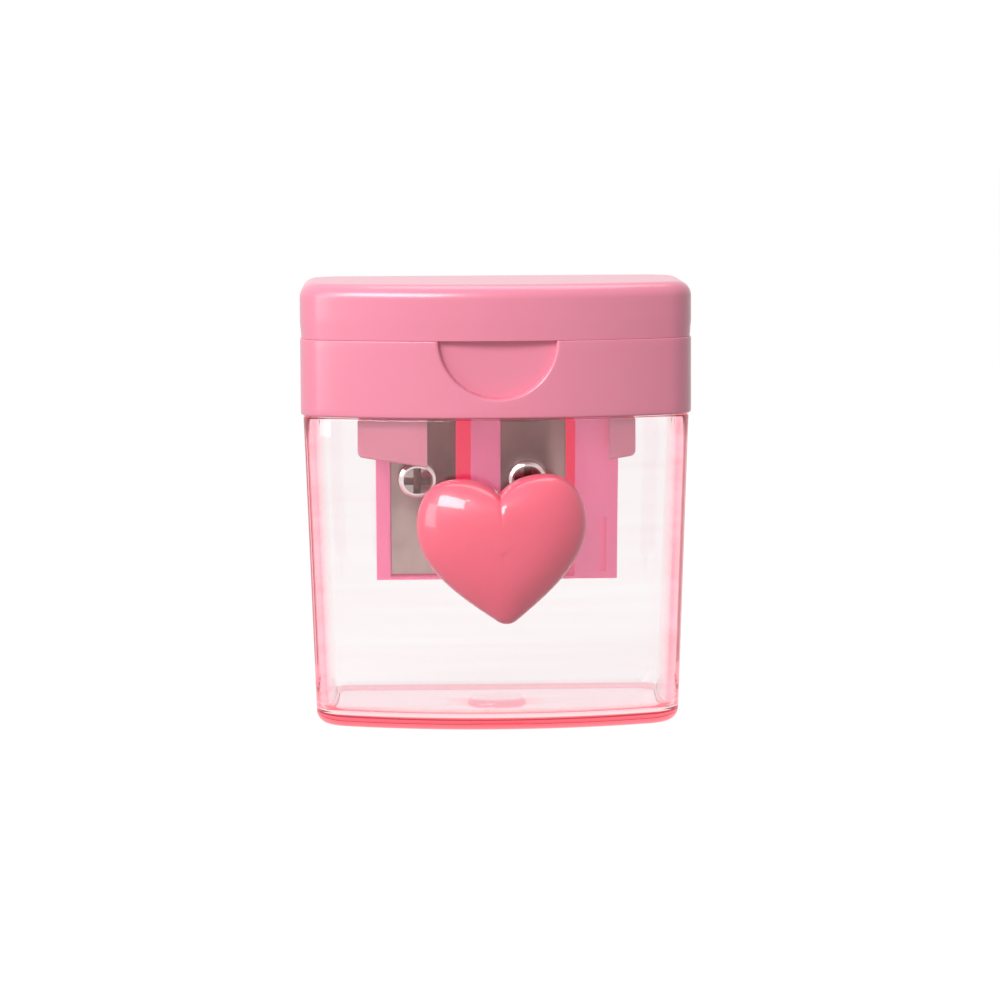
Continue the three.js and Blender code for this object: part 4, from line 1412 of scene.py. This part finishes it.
# %% [markdown]
# ## Blowing up the film
# The grid is coarse, since the heights are smooth and are read between its points. Two films are
# solved, one with the cleft and one without, and their ratio fades the cleft into the swelling.

# %% Blow the film up
FILM_CELLS = 120
FILM_STEPS = 2600
PUFF = 0.45
CLEFT_STEEPNESS = 4.0
SOFTENING_STEPS = 140
SOFT_ABOVE = 0.35
SOFT_SPREAD = 0.3
GRID_MARGIN = 1.05


def inside_outline(outline, xs, zs):
    """Which points of a grid lie inside a closed outline, by counting crossings."""
    inside = np.zeros(xs.shape, bool)
    for (x0, z0), (x1, z1) in zip(outline, outline[1:] + outline[:1]):
        if z0 == z1:
            continue
        crosses = (zs > min(z0, z1)) & (zs <= max(z0, z1))
        inside ^= crosses & (xs < x0 + (zs - z0) / (z1 - z0) * (x1 - x0))
    return inside


def soap_film(outline, xs, zs):
    """The heights of a film over an outline on a grid, 1 at its highest."""
    inside = inside_outline(outline, xs, zs)
    film = np.zeros(xs.shape)
    for _ in range(FILM_STEPS):
        around = film[:-2, 1:-1] + film[2:, 1:-1] + film[1:-1, :-2] + film[1:-1, 2:]
        film[1:-1, 1:-1] = np.where(inside[1:-1, 1:-1], around / 4 + 1, 0)
    return film / film.max()


def without_cleft(outline):
    """The outline with its cleft filled level with the two lobes."""
    top = max(z for _, z in outline)
    lobe = max(x for x, z in outline if z > top * 0.999)
    return [(x, top if abs(x) < lobe and z > 0 else z) for x, z in outline]


def blown_film(outline):
    """A function that gives the heart's height, from 0 to 1, at a point inside the outline."""
    half_x, half_z = HEART_WIDTH / 2 * GRID_MARGIN, HEART_HEIGHT / 2 * GRID_MARGIN
    xs, zs = np.meshgrid(
        np.linspace(-half_x, half_x, FILM_CELLS),
        np.linspace(-half_z, half_z, FILM_CELLS),
        indexing="ij",
    )
    film = soap_film(outline, xs, zs)
    filled = soap_film(without_cleft(outline), xs, zs)
    open_share = np.clip(CLEFT_STEEPNESS * film / np.maximum(filled, 1e-6), 0, 1)
    film = filled**PUFF * np.sqrt(1 - (1 - open_share) ** 2)
    soft = film.copy()
    for _ in range(SOFTENING_STEPS):
        around = soft[:-2, 1:-1] + soft[2:, 1:-1] + soft[1:-1, :-2] + soft[1:-1, 2:]
        soft[1:-1, 1:-1] = (soft[1:-1, 1:-1] + around / 4) / 2
    film += (soft - film) * np.clip((film - SOFT_ABOVE) / SOFT_SPREAD, 0, 1)

    def height(x, z):
        u = (x + half_x) / (2 * half_x) * (FILM_CELLS - 1)
        v = (z + half_z) / (2 * half_z) * (FILM_CELLS - 1)
        i, j = int(u), int(v)
        fu, fv = u - i, v - j
        near = film[i, j] * (1 - fu) * (1 - fv) + film[i + 1, j] * fu * (1 - fv)
        return near + film[i, j + 1] * (1 - fu) * fv + film[i + 1, j + 1] * fu * fv

    return height


# %% [markdown]
# ## Loops from back to crown
# The heart is a stack as well. Scaled copies of the outline make the flat back and its round edge,
# and closer and closer ones over the front take their height from the film.

# %% Build the heart
BACK_SHARE = 0.16
BACK_SCALE = 0.93
EDGE_SHARE = 0.10


def make_heart():
    outline = heart_outline()
    height = blown_film(outline)
    rise = HEART_DEPTH * (1 - BACK_SHARE)
    back = HEART_DEPTH * BACK_SHARE
    loops = [[(x * s, z * s, 0.0) for x, z in outline] for s in (0.3, 0.7, BACK_SCALE)]
    for step in range(1, 6):
        turn = math.pi / 2 * step / 6
        s = BACK_SCALE + (1 - BACK_SCALE) * math.sin(turn)
        loops.append([(x * s, z * s, back * (1 - math.cos(turn))) for x, z in outline])
    loops.append([(x, z, back) for x, z in outline])
    for step in range(1, 34):
        away = (step / 33) ** 2
        s = 1 - away * 0.985
        loop = []
        for x, z in outline:
            share = EDGE_SHARE
            if away < share:
                value = height(x * (1 - share), z * (1 - share)) * (away / share) ** PUFF
            else:
                value = height(x * s, z * s)
            loop.append((x * s, z * s, back + rise * max(value, 0)))
        loops.append(loop)
    heart = stack("puffy_heart", loops)
    relax(heart, 30)
    stand = Matrix.Translation(HEART_MIDDLE) @ Matrix.Rotation(math.pi / 2, 4, "X")
    heart.data.transform(stand @ Matrix.Rotation(HEART_ROLL, 4, "Z"))
    return smooth(heart, 60)


def relax(piece, rounds):
    """Evens out small steps in the surface, back and edge included."""
    work = bmesh.new()
    work.from_mesh(piece.data)
    for _ in range(rounds):
        bmesh.ops.smooth_vert(
            work, verts=work.verts, factor=0.5, use_axis_x=False, use_axis_y=False, use_axis_z=True
        )
    work.to_mesh(piece.data)
    work.free()


heart = make_heart()

# %% [markdown]
# ## Coral gloss
# The heart is the shiniest piece: a saturated coral plastic under a clear, wet-looking skin. The
# skin is a coat layer, so its highlight stays white and sharp over the softer colour below.

# %% Make the coral gloss
CORAL = (0.88, 0.115, 0.185)
CORAL_PALE = (0.90, 0.13, 0.20)


def coral_gloss():
    material, nodes, links, shader = new_finish("coral_gloss_plastic")
    clouds = surface_noise(nodes, links, 70)
    links.new(blend_colours(nodes, links, clouds, CORAL, CORAL_PALE), shader.inputs["Base Color"])
    links.new(spread(nodes, links, clouds, 0.29, 0.34), shader.inputs["Roughness"])
    shader.inputs["Coat Weight"].default_value = 0.8
    shader.inputs["Coat Roughness"].default_value = 0.04
    shader.inputs["Subsurface Weight"].default_value = 0.15
    shader.inputs["Subsurface Radius"].default_value = (1.0, 0.3, 0.3)
    shader.inputs["Subsurface Scale"].default_value = 1.5 * MM
    ripple(nodes, links, clouds, shader, 0.004 * MM)
    return material


dress(heart, coral_gloss(), "container", "coral_gloss_plastic", "heart_ornament")

# %% [markdown]
# ## The adhesive pad
# A thin disc of white foam holds the heart's flat back to the bowed wall. It is cut to the same arc as
# the wall behind it. Foam is dull and finely pitted, and its pits are painted a darker white as painted
# shade.

# %% Build the pad
# The darker white is painted shade, laid where the same noise sinks the surface into pits.
FOAM_PIT_SHADE = (0.80, 0.78, 0.76)
FOAM = (0.92, 0.91, 0.90)


def foam():
    material, nodes, links, shader = new_finish("white_foam")
    pits = surface_noise(nodes, links, 3500, detail=4)
    links.new(blend_colours(nodes, links, pits, FOAM_PIT_SHADE, FOAM), shader.inputs["Base Color"])
    shader.inputs["Roughness"].default_value = 0.9
    ripple(nodes, links, pits, shader, 0.05 * MM)
    return material


pad = welded_copy("heart_adhesive_pad", "adhesive_pad")
soften_edges(pad, 0.08 * MM)
smooth(pad, 40)
dress(pad, foam(), "container", "white_foam", "heart_adhesive_pad")

# %% [markdown]
# ## Sizes side by side
# The sizes of the mechanical and the visual model are set side by side, and the visual model's size is
# printed.

# %% Sizes side by side
size = {"cad": [list(v) for v in cad_bounds], "visual": [list(v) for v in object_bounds()]}
print("visual size in mm:", [round((b - a) / MM, 2) for a, b in zip(*size["visual"])])
